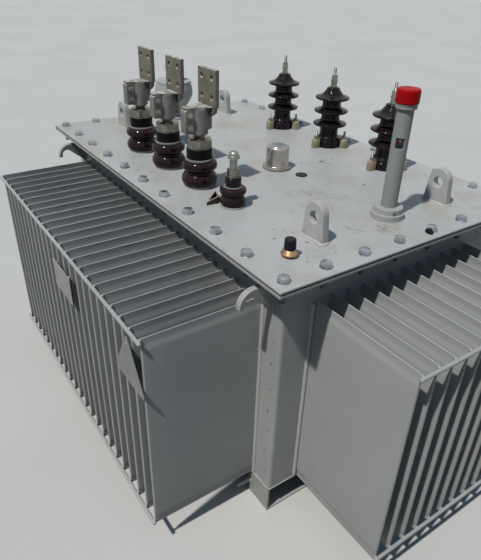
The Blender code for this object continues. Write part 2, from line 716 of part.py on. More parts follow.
def make_clamp(name, material, parent):
    """A cast clamp: a barrel on the stud, split at the front between two ears, and a palm behind it."""
    palm_top = CLAMP_TOP + PALM_HEIGHT
    palm = prism(palm_outline(palm_top), PALM_OFFSET, PALM_OFFSET + PALM_THICKNESS, in_xz)
    clamp = make_object(name, palm, material, parent)
    barrel = prism(polygon(ROUND_SIDES, CLAMP_RADIUS), CLAMP_LOW, CLAMP_TOP)
    add_boolean(clamp, make_object(name + "_barrel", barrel, material, clamp), "UNION")
    ears = prism(ear_outline(), -EAR_PAIR_WIDTH / 2, EAR_PAIR_WIDTH / 2, in_yz)
    add_boolean(clamp, make_object(name + "_ears", ears, material, clamp), "UNION")
    below = CLAMP_LOW - CLAMP_ROOF
    bore_radius = (STUD_RADIUS + CLEAR) / cos(pi / SMALL_SIDES)
    bore = prism(polygon(SMALL_SIDES, bore_radius), below, CLAMP_TOP - CLAMP_ROOF)
    add_boolean(clamp, make_object(name + "_bore", bore, material, clamp), "DIFFERENCE")
    half_slot = CLAMP_SLOT / 2
    slot = prism(rectangle(half_slot, EAR_REACH / 2, 0, -EAR_REACH / 2 - half_slot), below, palm_top)
    add_boolean(clamp, make_object(name + "_slot", slot, material, clamp), "DIFFERENCE")
    for column in (-1, 1):
        for row in (0, 1):
            x = column * PALM_HOLE_SPACING / 2
            height = palm_top - PALM_HOLE_FROM_TOP - row * PALM_HOLE_SPACING
            ring = polygon(PALM_HOLE_SIDES, PALM_HOLE_RADIUS, x, height)
            hole = prism(ring, PALM_OFFSET - PALM_THICKNESS, PALM_OFFSET + 2 * PALM_THICKNESS, in_xz)
            cutter = make_object(f"{name}_hole_{column}_{row}", hole, material, clamp)
            add_boolean(clamp, cutter, "DIFFERENCE")
    return clamp


def build_neutral(glaze, tin, cover):
    """The smaller neutral bushing, and its stud with a nut, a sleeve and a cap nut."""
    profile = [
        (0, NEUTRAL_HEIGHT),
        (NEUTRAL_NECK_RADIUS, NEUTRAL_HEIGHT),
        (NEUTRAL_NECK_RADIUS, NEUTRAL_RING_TOP),
        (NEUTRAL_RING_RADIUS, NEUTRAL_RING_TOP),
        *bulge(NEUTRAL_BELLY_RADIUS, NEUTRAL_RING_RADIUS, NEUTRAL_BELLY_TOP, NEUTRAL_SHED_TOP)[:-1],
        (NEUTRAL_WAIST_RADIUS, NEUTRAL_BELLY_TOP),
        *bulge(NEUTRAL_BELLY_RADIUS, NEUTRAL_WAIST_RADIUS, NEUTRAL_SEAT_HEIGHT, NEUTRAL_BELLY_TOP)[1:],
        (NEUTRAL_SEAT_RADIUS, NEUTRAL_SEAT_HEIGHT),
        (NEUTRAL_SEAT_RADIUS, CLEAR),
        (0, CLEAR),
    ]
    place = (NEUTRAL_X, LV_Y, 0)
    porcelain = make_object("neutral_porcelain", turned(profile, BUSHING_SIDES), glaze, cover, smooth=True)
    porcelain.location = place
    low = NEUTRAL_HEIGHT + CLEAR
    washer_top = low + NEUTRAL_WASHER_THICKNESS
    stem = [
        (0, NEUTRAL_TOP),
        (NEUTRAL_DOME_RADIUS / 2, NEUTRAL_TOP),
        (NEUTRAL_DOME_RADIUS, (NEUTRAL_TOP + NEUTRAL_COLLAR_TOP) / 2),
        (NEUTRAL_DOME_RADIUS, NEUTRAL_COLLAR_TOP),
        (NEUTRAL_COLLAR_RADIUS, NEUTRAL_COLLAR_TOP),
        (NEUTRAL_COLLAR_RADIUS, NEUTRAL_COLLAR_LOW),
        (NEUTRAL_SLEEVE_RADIUS, NEUTRAL_COLLAR_LOW),
        (NEUTRAL_SLEEVE_RADIUS, washer_top),
        (NEUTRAL_WASHER_RADIUS, washer_top),
        (NEUTRAL_WASHER_RADIUS, low),
        (0, low),
    ]
    stud = make_object("neutral_stud", turned(stem, SMALL_SIDES), tin, cover, smooth=True)
    stud.location = place
    height = NEUTRAL_NUT_HEIGHT + WELD
    nut = hex_nut("neutral_nut", washer_top - WELD, NEUTRAL_NUT_ACROSS_FLATS, height, tin, stud)
    add_boolean(stud, nut, "UNION")


def hv_profile():
    """Half section of a high-voltage bushing, from the head down over the sheds to the foot."""
    profile = [
        (0, HV_HEIGHT),
        (HV_HEAD_RADIUS - HV_HEAD_CHAMFER, HV_HEIGHT),
        (HV_HEAD_RADIUS, HV_HEIGHT - HV_HEAD_CHAMFER),
    ]
    for number in reversed(range(HV_SHEDS)):
        rim = HV_FIRST_RIM + number * HV_SHED_SPACING
        half = HV_RIM_THICKNESS / 2
        profile += [
            (HV_TRUNK_RADIUS, rim + HV_SHED_SLOPE),
            (HV_SHED_RADIUS - half, rim + half),
            (HV_SHED_RADIUS, rim),
            (HV_SHED_RADIUS - half, rim - half),
            (HV_TRUNK_RADIUS, rim - HV_UNDERCUT),
        ]
    profile += [
        (HV_TRUNK_RADIUS, HV_SHOULDER_TOP),
        (HV_SHOULDER_RADIUS, HV_FOOT_HEIGHT),
        (HV_FOOT_RADIUS, HV_FOOT_HEIGHT),
        (HV_FOOT_RADIUS, CLEAR),
        (0, CLEAR),
    ]
    return profile


def claw_outline():
    """A cast claw from the side, as (distance from the bushing's axis, height).

    Its leg stands outside the foot and its tip rests on the foot's flat rim.
    """
    leg = HV_FOOT_RADIUS + CLAW_LEG_CLEAR
    tip_low = HV_FOOT_HEIGHT + CLEAR
    return [
        (leg, CLEAR),
        (CLAW_OUTER, CLEAR),
        (CLAW_OUTER, CLAW_OUTER_HEIGHT),
        (CLAW_SHOULDER, CLAW_HEIGHT),
        (leg + CLAW_LEG_CLEAR, CLAW_HEIGHT),
        (CLAW_TIP_RADIUS, tip_low + CLAW_TIP_THICKNESS),
        (CLAW_TIP_RADIUS, tip_low),
        (leg, tip_low),
    ]


def build_hv_bushings(glaze, tin, cast, cover):
    """Three high-voltage bushings in a row, each with its stud and the claws round its foot."""
    half = CLAW_WIDTH / 2
    for number in range(3):
        name = f"hv_{number + 1}"
        place = (HV_FIRST_X + number * HV_SPACING, HV_Y, 0)
        porcelain = make_object(name + "_porcelain", turned(hv_profile(), BUSHING_SIDES), glaze, cover, smooth=True)
        porcelain.location = place
        make_hv_stud(name + "_stud", tin, cover).location = place
        for turn, side in enumerate(("front", "right", "left")):
            claw = make_object(f"{name}_{side}_claw", prism(claw_outline(), -half, half, in_xz), cast, cover)
            claw.location = place
            claw.rotation_euler = (0, 0, CLAW_FIRST_ANGLE + turn * 2 * pi / CLAWS)


def make_hv_stud(name, material, parent):
    """A slim stud with nuts, each on a washer."""
    low = HV_HEIGHT + CLEAR
    step = HV_WASHER_THICKNESS + HV_NUT_HEIGHT
    profile = [(0, low), (HV_WASHER_RADIUS, low)]
    for number in range(HV_NUTS):
        base = low + number * step
        if number:
            profile += [(HV_STUD_RADIUS, base), (HV_WASHER_RADIUS, base)]
        profile += [
            (HV_WASHER_RADIUS, base + HV_WASHER_THICKNESS),
            (HV_STUD_RADIUS, base + HV_WASHER_THICKNESS),
        ]
    profile += [(HV_STUD_RADIUS, HV_STUD_TOP), (0, HV_STUD_TOP)]
    stud = make_object(name, turned(profile[::-1], SMALL_SIDES), material, parent, smooth=True)
    for number in range(HV_NUTS):
        base = low + number * step + HV_WASHER_THICKNESS - WELD / 2
        nut = hex_nut(f"{name}_nut_{number}", base, HV_NUT_ACROSS_FLATS, HV_NUT_HEIGHT, material, stud)
        add_boolean(stud, nut, "UNION")
    return stud


def build_gauge(paint, red, cover):
    """The oil level gauge: a foot, a tube with a sight window, a collar and a cap."""
    profile = [
        (0, GAUGE_COLLAR_TOP),
        (GAUGE_COLLAR_RADIUS, GAUGE_COLLAR_TOP),
        (GAUGE_COLLAR_RADIUS, GAUGE_COLLAR_LOW),
        (GAUGE_TUBE_RADIUS, GAUGE_COLLAR_LOW),
        (GAUGE_TUBE_RADIUS, GAUGE_BAND_TOP),
        (GAUGE_BAND_RADIUS, GAUGE_BAND_TOP),
        (GAUGE_BAND_RADIUS, GAUGE_FOOT_HEIGHT),
        (GAUGE_FOOT_RADIUS, GAUGE_FOOT_HEIGHT),
        (GAUGE_FOOT_RADIUS, CLEAR),
        (0, CLEAR),
    ]
    x = COVER_LENGTH / 2 - GAUGE_FROM_END
    gauge = turned_fitting("oil_gauge", profile, x, GAUGE_Y, paint, cover)
    inner = GAUGE_TUBE_RADIUS - WINDOW_DEPTH
    outer = GAUGE_TUBE_RADIUS + WINDOW_DEPTH
    box = rectangle((outer - inner) / 2, WINDOW_WIDTH / 2, (outer + inner) / 2)
    low, high = WINDOW_CENTRE - WINDOW_HEIGHT / 2, WINDOW_CENTRE + WINDOW_HEIGHT / 2
    window = make_object("oil_gauge_window", prism(box, low, high), paint, gauge)
    window.rotation_euler = (0, 0, WINDOW_FACES)
    add_boolean(gauge, window, "DIFFERENCE")
    low = GAUGE_COLLAR_TOP + CLEAR
    high = low + GAUGE_CAP_HEIGHT
    cap = [
        (0, high),
        (GAUGE_CAP_RADIUS - GAUGE_CAP_ROUND, high),
        (GAUGE_CAP_RADIUS, high - GAUGE_CAP_ROUND),
        (GAUGE_CAP_RADIUS, low),
        (0, low),
    ]
    turned_fitting("oil_gauge_cap", cap, x, GAUGE_Y, red, cover)


def turned_fitting(name, profile, x, y, material, cover, sides=ROUND_SIDES):
    fitting = make_object(name, turned(profile, sides), material, cover, smooth=True)
    fitting.location = (x, y, 0)
    return fitting


def build_fittings(paint, chrome, brass, plastic, cover):
    """Tap changer cap, plug, thermometer pocket and filler."""
    shoulder_radius = TAP_CAP_RADIUS - TAP_CAP_ROUND
    shoulder = arc(shoulder_radius, TAP_CAP_TOP - TAP_CAP_ROUND, TAP_CAP_ROUND, pi / 2, 0, TAP_ROUND_STEPS)
    tap = [(0, TAP_CAP_TOP), *shoulder, (TAP_CAP_RADIUS, TAP_FLANGE_HEIGHT)]
    tap += [(TAP_FLANGE_RADIUS, TAP_FLANGE_HEIGHT), (TAP_FLANGE_RADIUS, CLEAR), (0, CLEAR)]
    turned_fitting("tap_changer_cap", tap, TAP_X, TAP_Y, chrome, cover)
    plug = [(0, PLUG_HEIGHT), (PLUG_RADIUS, PLUG_HEIGHT), (PLUG_RADIUS, CLEAR), (0, CLEAR)]
    turned_fitting("blanking_plug", plug, PLUG_X, PLUG_Y, plastic, cover, SMALL_SIDES)
    pocket = [
        (0, POCKET_HEIGHT),
        (POCKET_CAP_RADIUS, POCKET_HEIGHT),
        (POCKET_RADIUS, POCKET_BULGE_HEIGHT),
        (POCKET_FOOT_RADIUS, CLEAR),
        (0, CLEAR),
    ]
    pocket_place = (COVER_LENGTH / 2 - POCKET_FROM_END, -(COVER_WIDTH / 2 - POCKET_FROM_SIDE))
    turned_fitting("thermometer_pocket", pocket, *pocket_place, brass, cover, SMALL_SIDES)
    low = POCKET_HEIGHT + CLEAR
    high = low + POCKET_CAP_HEIGHT
    cap = [(0, high), (POCKET_CAP_TOP_RADIUS, high), (POCKET_CAP_RADIUS, low), (0, low)]
    turned_fitting("thermometer_cap", cap, *pocket_place, plastic, cover, SMALL_SIDES)
    cap_low = FILLER_TOP - FILLER_CAP_HEIGHT
    filler = [
        (0, FILLER_TOP),
        (FILLER_CAP_RADIUS, FILLER_TOP),
        (FILLER_CAP_RADIUS, cap_low),
        (FILLER_NECK_RADIUS, cap_low),
        (FILLER_NECK_RADIUS, FILLER_LID_TOP),
        (FILLER_LID_RADIUS, FILLER_LID_TOP),
        (FILLER_LID_RADIUS, FILLER_LID_LOW),
        (FILLER_BOWL_RADIUS, FILLER_BOWL_WIDEST_HIGH),
        (FILLER_BOWL_RADIUS, FILLER_BOWL_WIDEST_LOW),
        (FILLER_WAIST_RADIUS, FILLER_WAIST_TOP),
        (FILLER_WAIST_RADIUS, FILLER_FLANGE_HEIGHT),
        (FILLER_FOOT_RADIUS, FILLER_FLANGE_HEIGHT),
        (FILLER_FOOT_RADIUS, CLEAR),
        (0, CLEAR),
    ]
    turned_fitting("oil_filler", filler, FILLER_FROM_END - COVER_LENGTH / 2, FILLER_Y, paint, cover)


def warning_outline(middle, low):
    """A triangle with rounded corners, as (x, height)."""
    apex = low + WARNING_SIDE * sqrt(3) / 2
    inset = WARNING_CORNER * sqrt(3)
    centres = [
        (middle + WARNING_SIDE / 2 - inset, low + WARNING_CORNER, -pi / 2),
        (middle, apex - 2 * WARNING_CORNER, pi / 6),
        (middle - WARNING_SIDE / 2 + inset, low + WARNING_CORNER, 5 * pi / 6),
    ]
    outline = []
    for x, height, start in centres:
        outline += arc(x, height, WARNING_CORNER, start, start + 2 * pi / 3, 3)
    return outline


def build_plates(paint):
    """The bare rating plate and three-cornered plate, on rails welded to the fin tips."""
    tips = -(TANK_Y + FIN_DEPTH) - CLEAR
    back = tips - PLATE_STAND_OFF
    front = back - PLATE_THICKNESS
    places = fin_places(LONG_SIDE_FINS)
    rating_x = places[RATING_FINS[0]] + RATING_FROM_RAIL
    rating_z = FIN_TOP - RATING_BELOW_FIN_TOP
    rating_low, rating_high = rating_z - RATING_HEIGHT / 2, rating_z + RATING_HEIGHT / 2
    rating = rectangle(RATING_WIDTH / 2, RATING_HEIGHT / 2, rating_x, rating_z)
    warning_low = FIN_TOP - WARNING_BELOW_FIN_TOP
    warning = warning_outline(places[WARNING_FINS[0]] + WARNING_FROM_RAIL, warning_low)
    plates = [
        ("rating_plate", rating, RATING_FINS, rating_low, rating_high - PLATE_RAIL_INSET),
        ("warning_plate", warning, WARNING_FINS, warning_low, warning_low + WARNING_RAIL_TOP),
    ]
    for name, outline, fins, low, rail_top in plates:
        plate = make_object(name, prism(outline, front, back, in_xz), paint)
        rail_low = low + PLATE_RAIL_INSET
        for fin in fins:
            half, middle = (rail_top - rail_low) / 2, (rail_low + rail_top) / 2
            rail = rectangle(PLATE_RAIL_WIDTH / 2, half, places[fin], middle)
            helper = make_object(f"{name}_rail_{fin}", prism(rail, back - PLATE_THICKNESS / 2, tips, in_xz), paint)
            add_boolean(plate, helper, "UNION")


def main():
    clear_scene()
    paint = make_material("light_grey_paint", (0.50, 0.51, 0.50), 0.45)
    rubber = make_material("black_rubber", (0.02, 0.02, 0.02), 0.7)
    glaze = make_material("brown_glaze", (0.045, 0.02, 0.018), 0.12)
    tin = make_material("tinned_brass", (0.42, 0.40, 0.35), 0.4, 1.0)
    cast = make_material("yellow_zinc", (0.48, 0.40, 0.24), 0.45, 1.0)
    chrome = make_material("chrome", (0.65, 0.66, 0.66), 0.15, 1.0)
    brass = make_material("brass", (0.55, 0.38, 0.18), 0.35, 1.0)
    plastic = make_material("black_plastic", (0.03, 0.03, 0.035), 0.5)
    red = make_material("red_plastic", (0.55, 0.02, 0.03), 0.35)
    cover = bpy.data.objects.new("cover_top", None)
    bpy.context.scene.collection.objects.link(cover)
    cover.location = (0, 0, BODY_HEIGHT)
    build_cover(paint, rubber)
    build_walls(paint)
    build_base(paint)
    build_lv_bushings(glaze, tin, cover)
    build_neutral(glaze, tin, cover)
    build_hv_bushings(glaze, tin, cast, cover)
    build_gauge(paint, red, cover)
    build_fittings(paint, chrome, brass, plastic, cover)
    build_plates(paint)


main()
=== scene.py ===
# %% [markdown]
# # Oil-filled power transformer
# The real object is a steel tank full of oil. Its walls are folded into deep fins that shed the
# heat, and everything electrical comes out through the bolted cover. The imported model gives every
# size and place. This lesson dresses it: each cell makes one kind of piece or one finish.

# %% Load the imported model
import json
from math import cos, pi, radians, sin, sqrt, tan

import bpy
import numpy as np
from mathutils import Matrix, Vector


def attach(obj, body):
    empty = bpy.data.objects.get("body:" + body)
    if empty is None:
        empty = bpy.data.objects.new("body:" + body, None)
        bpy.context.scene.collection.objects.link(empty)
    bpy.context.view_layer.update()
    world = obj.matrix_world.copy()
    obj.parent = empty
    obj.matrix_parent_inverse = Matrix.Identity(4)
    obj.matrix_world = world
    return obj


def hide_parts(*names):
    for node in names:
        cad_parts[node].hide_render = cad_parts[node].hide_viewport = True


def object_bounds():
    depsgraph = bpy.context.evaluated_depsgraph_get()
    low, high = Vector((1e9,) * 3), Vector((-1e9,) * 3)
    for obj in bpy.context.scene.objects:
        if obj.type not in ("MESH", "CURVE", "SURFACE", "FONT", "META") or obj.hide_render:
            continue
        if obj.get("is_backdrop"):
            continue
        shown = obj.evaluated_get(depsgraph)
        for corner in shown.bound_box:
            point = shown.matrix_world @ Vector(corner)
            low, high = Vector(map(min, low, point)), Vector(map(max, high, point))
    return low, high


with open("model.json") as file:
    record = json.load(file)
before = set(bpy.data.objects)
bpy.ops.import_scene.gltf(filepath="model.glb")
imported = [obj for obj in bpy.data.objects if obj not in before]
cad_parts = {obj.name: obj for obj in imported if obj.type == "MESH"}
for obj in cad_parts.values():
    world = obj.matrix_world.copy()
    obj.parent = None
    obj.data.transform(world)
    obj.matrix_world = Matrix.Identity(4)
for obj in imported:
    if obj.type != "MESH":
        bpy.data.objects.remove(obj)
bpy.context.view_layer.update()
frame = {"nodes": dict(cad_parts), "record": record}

# %% [markdown]
# ## How a finish is written
# A finish is one Principled shader with a few nodes in front of it. Real paint, glaze and metal are
# never one flat colour, so each finish is made of noise at the size of the real mark, in
# millimetres. Object coordinates are used, because every piece sits at the origin: the pattern then
# keeps its true size and doesn't slide from piece to piece.

# %% Helpers for finishes


def new_finish(name, **sockets):
    """A material with a Principled shader whose plain values are given by socket name."""
    material = bpy.data.materials.new(name)
    material.use_nodes = True
    shader = material.node_tree.nodes["Principled BSDF"]
    for socket, value in sockets.items():
        socket = socket.replace("_", " ").title().replace("Ior", "IOR")
        shader.inputs[socket].default_value = (*value, 1.0) if isinstance(value, tuple) else value
    return material


def add_node(material, kind, inputs=None, **settings):
    """One node; inputs are numbers, colours or the outputs of other nodes."""
    node = material.node_tree.nodes.new(kind)
    for key, value in settings.items():
        setattr(node, key, value)
    for key, value in (inputs or {}).items():
        if isinstance(value, bpy.types.NodeSocket):
            material.node_tree.links.new(value, node.inputs[key])
        else:
            node.inputs[key].default_value = value
    return node


def mottle(material, size_mm, detail=3.0, stretch=(1, 1, 1), shift=(0, 0, 0)):
    """Noise from 0 to 1 whose blotches are about this many millimetres across."""
    place = add_node(material, "ShaderNodeTexCoord").outputs["Object"]
    scale = tuple(s * 1000 / size_mm for s in stretch)
    mapped = add_node(material, "ShaderNodeMapping", {"Vector": place, "Scale": scale, "Location": shift})
    noise = add_node(material, "ShaderNodeTexNoise",
        {"Vector": mapped.outputs[0], "Scale": 1.0, "Detail": detail})
    return noise.outputs[0]


def step_between(material, value, low, high, start=0.0, end=1.0):
    """Maps the value from low..high to start..end, smoothly at both ends."""
    settings = {"interpolation_type": "SMOOTHSTEP", "clamp": True}
    inputs = {"Value": value, "From Min": low, "From Max": high, "To Min": start, "To Max": end}
    return add_node(material, "ShaderNodeMapRange", inputs, **settings).outputs[0]


def times(material, first, second):
    return add_node(material, "ShaderNodeMath", {0: first, 1: second}, operation="MULTIPLY").outputs[0]


def blend(material, share, first, second):
    """A colour between two others; share 0 is the first and 1 is the second."""
    node = add_node(material, "ShaderNodeMix", data_type="RGBA")
    links = material.node_tree.links
    for socket, value in ((node.inputs[0], share), (node.inputs[6], first), (node.inputs[7], second)):
        if isinstance(value, bpy.types.NodeSocket):
            links.new(value, socket)
        else:
            socket.default_value = (*value, 1.0) if isinstance(value, tuple) else value
    return node.outputs[2]


def facing_up(material):
    """1 where the surface faces the sky and 0 where it stands upright."""
    normal = add_node(material, "ShaderNodeNewGeometry").outputs["Normal"]
    upward = add_node(material, "ShaderNodeSeparateXYZ", {0: normal}).outputs["Z"]
    return step_between(material, upward, 0.3, 0.95)


def feed(material, socket, value):
    """Links a value to a socket of the material's shader."""
    material.node_tree.links.new(value, material.node_tree.nodes["Principled BSDF"].inputs[socket])


def bump(material, height, depth_mm, strength=1.0):
    inputs = {"Height": height, "Distance": depth_mm / 1000, "Strength": strength}
    feed(material, "Normal", add_node(material, "ShaderNodeBump", inputs).outputs[0])


# %% [markdown]
# ## Paint
# The tank has light grey enamel, sprayed on thick. It shows a faint orange peel, cloudy dust and
# fine specks. The cover is the same paint, but its clean grey is set lighter than the tank's as
# painted light: the sunlit top lighter and the upright walls darker. It lies flat, so it has caught
# more: tan dust in patches, dark grit, a few smears and single scratches. One function makes both,
# and the cover gets more dirt and a list of marks.

# %% Light grey paint
EARTH, GRIT, SMEAR = (0.36, 0.31, 0.25), (0.12, 0.10, 0.085), (0.24, 0.225, 0.20)
COVER_MM = 800.0  # height of the cover's top, where the marks lie


def near_line(material, start, end, radius, share):
    """The share near a line on the cover, which falls to 0 at the radius; all sizes are in millimetres.

    The nearest point of the line is start + t along it, with t held between 0 and the length. The
    place is first moved by a little noise, so that the mark's edge isn't even.
    """
    start, end = (np.array([*p, COVER_MM]) / 1000 for p in (start, end))
    length = float(np.linalg.norm(end - start))
    along = (end - start) / length

    def vector(operation, first, second):
        return add_node(material, "ShaderNodeVectorMath", {0: first, 1: second}, operation=operation)

    place = add_node(material, "ShaderNodeTexCoord").outputs["Object"]
    noise = add_node(material, "ShaderNodeTexNoise",
        {"Vector": place, "Scale": 1400 / radius, "Detail": 3.0}).outputs[1]
    shove = vector("MULTIPLY", vector("SUBTRACT", noise, (0.5, 0.5, 0.5)).outputs[0],
        (radius / 900, radius / 900, 0))
    away = vector("SUBTRACT", vector("ADD", place, shove.outputs[0]).outputs[0], start).outputs[0]
    t = vector("DOT_PRODUCT", away, along).outputs["Value"]
    t = add_node(material, "ShaderNodeMapRange",
        {"Value": t, "From Min": 0, "From Max": length, "To Min": 0, "To Max": length}).outputs[0]
    inputs = {0: tuple(along), "Scale": t}
    reach = add_node(material, "ShaderNodeVectorMath", inputs, operation="SCALE").outputs[0]
    distance = vector("DISTANCE", away, reach).outputs["Value"]
    return step_between(material, distance, 0.35 * radius / 1000, radius / 1000, share, 0)


def grey_paint(name, clean, dusty, dust_share, grit_share, marks=()):
    """Two greys in clouds 300 mm across, dust where it faces up, grit as dark points, then single marks."""
    paint = new_finish(name, specular_ior_level=0.28)
    cloud = mottle(paint, 320, 4)
    darker = tuple(0.90 * c for c in clean)
    colour = blend(paint, step_between(paint, cloud, 0.35, 0.7), clean, darker)
    streak = mottle(paint, 60, 5, stretch=(1, 1, 0.35), shift=(3, 1, 7))
    colour = blend(paint, step_between(paint, streak, 0.5, 0.8, 0, 0.35), colour, dusty)
    dust = step_between(paint, mottle(paint, 140, 8, shift=(9, 4, 2)), 0.48, 0.72, 0, dust_share)
    upward = facing_up(paint)
    colour = blend(paint, times(paint, dust, upward), colour, EARTH)
    grit = step_between(paint, mottle(paint, 9, 3, shift=(1, 8, 5)), 0.645, 0.70, 0, grit_share)
    patches = step_between(paint, mottle(paint, 120, 3, shift=(5, 5, 1)), 0.42, 0.60)
    colour = blend(paint, times(paint, upward, times(paint, grit, patches)), colour, GRIT)
    smear = mottle(paint, 38, 5, stretch=(1, 0.45, 1), shift=(8, 2, 4))
    smears = step_between(paint, smear, 0.56, 0.74, 0, 0.4 * dust_share)
    colour = blend(paint, times(paint, upward, smears), colour, SMEAR)
    broken = step_between(paint, mottle(paint, 16, 6, shift=(7, 7, 2)), 0.36, 0.62)
    for x0, y0, x1, y1, radius, share, tone in marks:
        mark = near_line(paint, (x0, y0), (x1, y1), radius, share)
        colour = blend(paint, times(paint, mark, broken) if radius > 20 else mark, colour, tone)
    feed(paint, "Base Color", colour)
    wear = mottle(paint, 45, 5, shift=(2, 2, 2))
    feed(paint, "Roughness", step_between(paint, wear, 0.3, 0.75, 0.34, 0.52))
    bump(paint, mottle(paint, 3.5, 2), 0.05, 0.5)
    return paint


# The tank's grey is darker than the cover's, as painted shade on the upright walls.
tank_paint = grey_paint("tank_paint", (0.40, 0.41, 0.405), (0.36, 0.355, 0.335), 0.35, 0.35)
SOOT, DIRT, DUN, TAN = (0.012, 0.012, 0.014), (0.10, 0.095, 0.09), (0.17, 0.145, 0.115), (0.27, 0.23, 0.18)
COVER_MARKS = [  # x and y of both ends, radius, share, tone; in millimetres
    (349, 139, 352, 138, 5.5, 0.9, DIRT), (530, -109, 546, -113, 3.2, 0.4, DIRT),
    (546, -113, 566, -98, 3.2, 0.5, DIRT), (566, -98, 583, -94, 3.2, 0.5, DIRT),
    (133, 155, 127, 180, 4, 0.9, DIRT), (133, 155, 164, 185, 3.5, 0.6, DIRT),
    (572, -38, 597, -42, 5, 0.55, DUN), (597, -42, 590, -26, 5, 0.55, DUN),
    (596, -42, 598, -5, 30, 0.5, TAN), (663, 44, 674, 40, 9, 1.0, SOOT),
    (615, -266, 590, -230, 36, 0.25, TAN), (373, -13, 395, 10, 30, 0.35, TAN),
    (300, -79, 330, -30, 40, 0.45, TAN), (498, 230, 590, 235, 34, 0.3, TAN),
    (500, -222, 590, -222, 24, 0.3, TAN), (331, -55, 333, -52, 5, 0.7, DIRT),
    (254, -188, 257, -187, 4.5, 0.8, DIRT), (495, -306, 498, -304, 5.5, 0.6, DIRT),
    (550, -251, 553, -249, 4.5, 0.9, DIRT),
]
# The cover's clean grey is lighter than the tank's, as painted light on the sunlit top.
cover_paint = grey_paint("cover_paint", (0.455, 0.462, 0.455), (0.42, 0.415, 0.395), 0.45, 0.9, COVER_MARKS)
print("paints:", tank_paint.name, cover_paint.name)

# %% [markdown]
# ## Glaze, metals, rubber and plastic
# The porcelain has a thick iron glaze, nearly black with a plum tone where it is thin. The cast and
# plated parts differ in colour and in how sharp their shine is. Each gets a fine grain in its
# roughness and bump, and a film of dust on what faces up.

# %% Porcelain glaze
DUST, TAN_DUST = (0.34, 0.31, 0.27), (0.55, 0.52, 0.455)


def dusted(finish, colour, dust=DUST, share=0.35, size_mm=25):
    """Adds a thin film of dust to what faces up."""
    film = step_between(finish, mottle(finish, size_mm, 6, shift=(4, 7, 3)), 0.35, 0.75, 0, share)
    return blend(finish, times(finish, film, facing_up(finish)), colour, dust)


def porcelain_glaze(name, shine, cloud, deep, thin, dust):
    """Nearly black where the glaze is deep and plum where it is thin, with a wet, slightly uneven shine."""
    finish = new_finish(name, specular_ior_level=shine)
    tone = blend(finish, step_between(finish, mottle(finish, 40, 3), *cloud), deep, thin)
    feed(finish, "Base Color", dusted(finish, tone, share=dust))
    wet = mottle(finish, 18, 4, shift=(6, 1, 1))
    feed(finish, "Roughness", step_between(finish, wet, 0.35, 0.8, 0.07, 0.20))
    bump(finish, mottle(finish, 20, 2), 0.10, 0.3)
    return finish


plum_glaze = (0.010, 0.004, 0.008), (0.024, 0.005, 0.012)
glaze = porcelain_glaze("brown_glaze", 0.22, (0.35, 0.75), *plum_glaze, 0.05)
black_glaze = (0.006, 0.0035, 0.006), (0.016, 0.004, 0.008)
dark_glaze = porcelain_glaze("dark_brown_glaze", 0.25, (0.4, 0.8), *black_glaze, 0.03)

# %% Metals


def metal(name, bright, dull, low, high, grain_mm=1.2, depth_mm=0.03, dust=0.3, metallic=1.0, film=DUST):
    """Two tones of a metal in small clouds, with a grain that breaks up its shine and a film of dust."""
    finish = new_finish(name, metallic=metallic)
    tone = blend(finish, step_between(finish, mottle(finish, 26, 4), 0.35, 0.7), bright, dull)
    feed(finish, "Base Color", dusted(finish, tone, film, dust, 18))
    grain = mottle(finish, grain_mm, 3, shift=(2, 6, 1))
    wear = mottle(finish, 9, 5, shift=(1, 1, 8))
    feed(finish, "Roughness", step_between(finish, wear, 0.3, 0.75, low, high))
    bump(finish, grain, depth_mm, 0.5)
    return finish


clamp_metal = metal("clamp_casting", (0.25, 0.247, 0.228), (0.18, 0.18, 0.168), 0.50, 0.66, 2.0, 0.12, 1.7,
    0.2, TAN_DUST)
palm_metal = metal("palm_metal", (0.19, 0.178, 0.148), (0.135, 0.128, 0.106), 0.42, 0.60, 1.5, 0.06, 1.7,
    0.25, TAN_DUST)
tin = metal("tinned_brass", (0.28, 0.27, 0.225), (0.20, 0.19, 0.16), 0.18, 0.32, 1.0, 0.008, 0.1)
flange_metal = metal("dull_flange", (0.30, 0.27, 0.25), (0.22, 0.20, 0.19), 0.42, 0.58, 1.0, 0.02, 0.2, 0.3)
# Dark steel for the nuts under the flange: their darkness is painted shade.
painted_shade_steel = metal("steel_darkened_as_painted_shade", (0.15, 0.16, 0.17), (0.09, 0.095, 0.10), 0.45, 0.60, 1.0, 0.02, 0.1, 0.5)
zinc = metal("bright_zinc", (0.58, 0.62, 0.67), (0.38, 0.41, 0.45), 0.22, 0.36, 1.0, 0.02, 0.2)
stud_steel = metal("stud_steel", (0.36, 0.38, 0.34), (0.24, 0.26, 0.23), 0.30, 0.50, 1.0, 0.02, 0.2)
yellow_zinc = metal("yellow_zinc", (0.36, 0.36, 0.23), (0.25, 0.25, 0.155), 0.35, 0.60, 2.0, 0.10, 0.2, 0.3)
tarnished_zinc = metal("tarnished_zinc", (0.40, 0.32, 0.25), (0.29, 0.235, 0.18), 0.35, 0.60, 2.0, 0.10,
    0.2, 0.3)
chrome = metal("chrome", (0.53, 0.50, 0.46), (0.46, 0.43, 0.40), 0.26, 0.35, 3.0, 0.0, 0.1)
# The lid's bluish tone is a painted reflection of the sky.
lid_painted_sky_reflection = metal("lid_painted_sky_reflection", (0.44, 0.49, 0.56), (0.38, 0.42, 0.49), 0.22, 0.34, 3.0, 0.0, 0.2)
brass = metal("brass", (0.48, 0.33, 0.19), (0.33, 0.21, 0.12), 0.34, 0.52, 1.2, 0.04, 0.25)

# %% Rubber and plastic


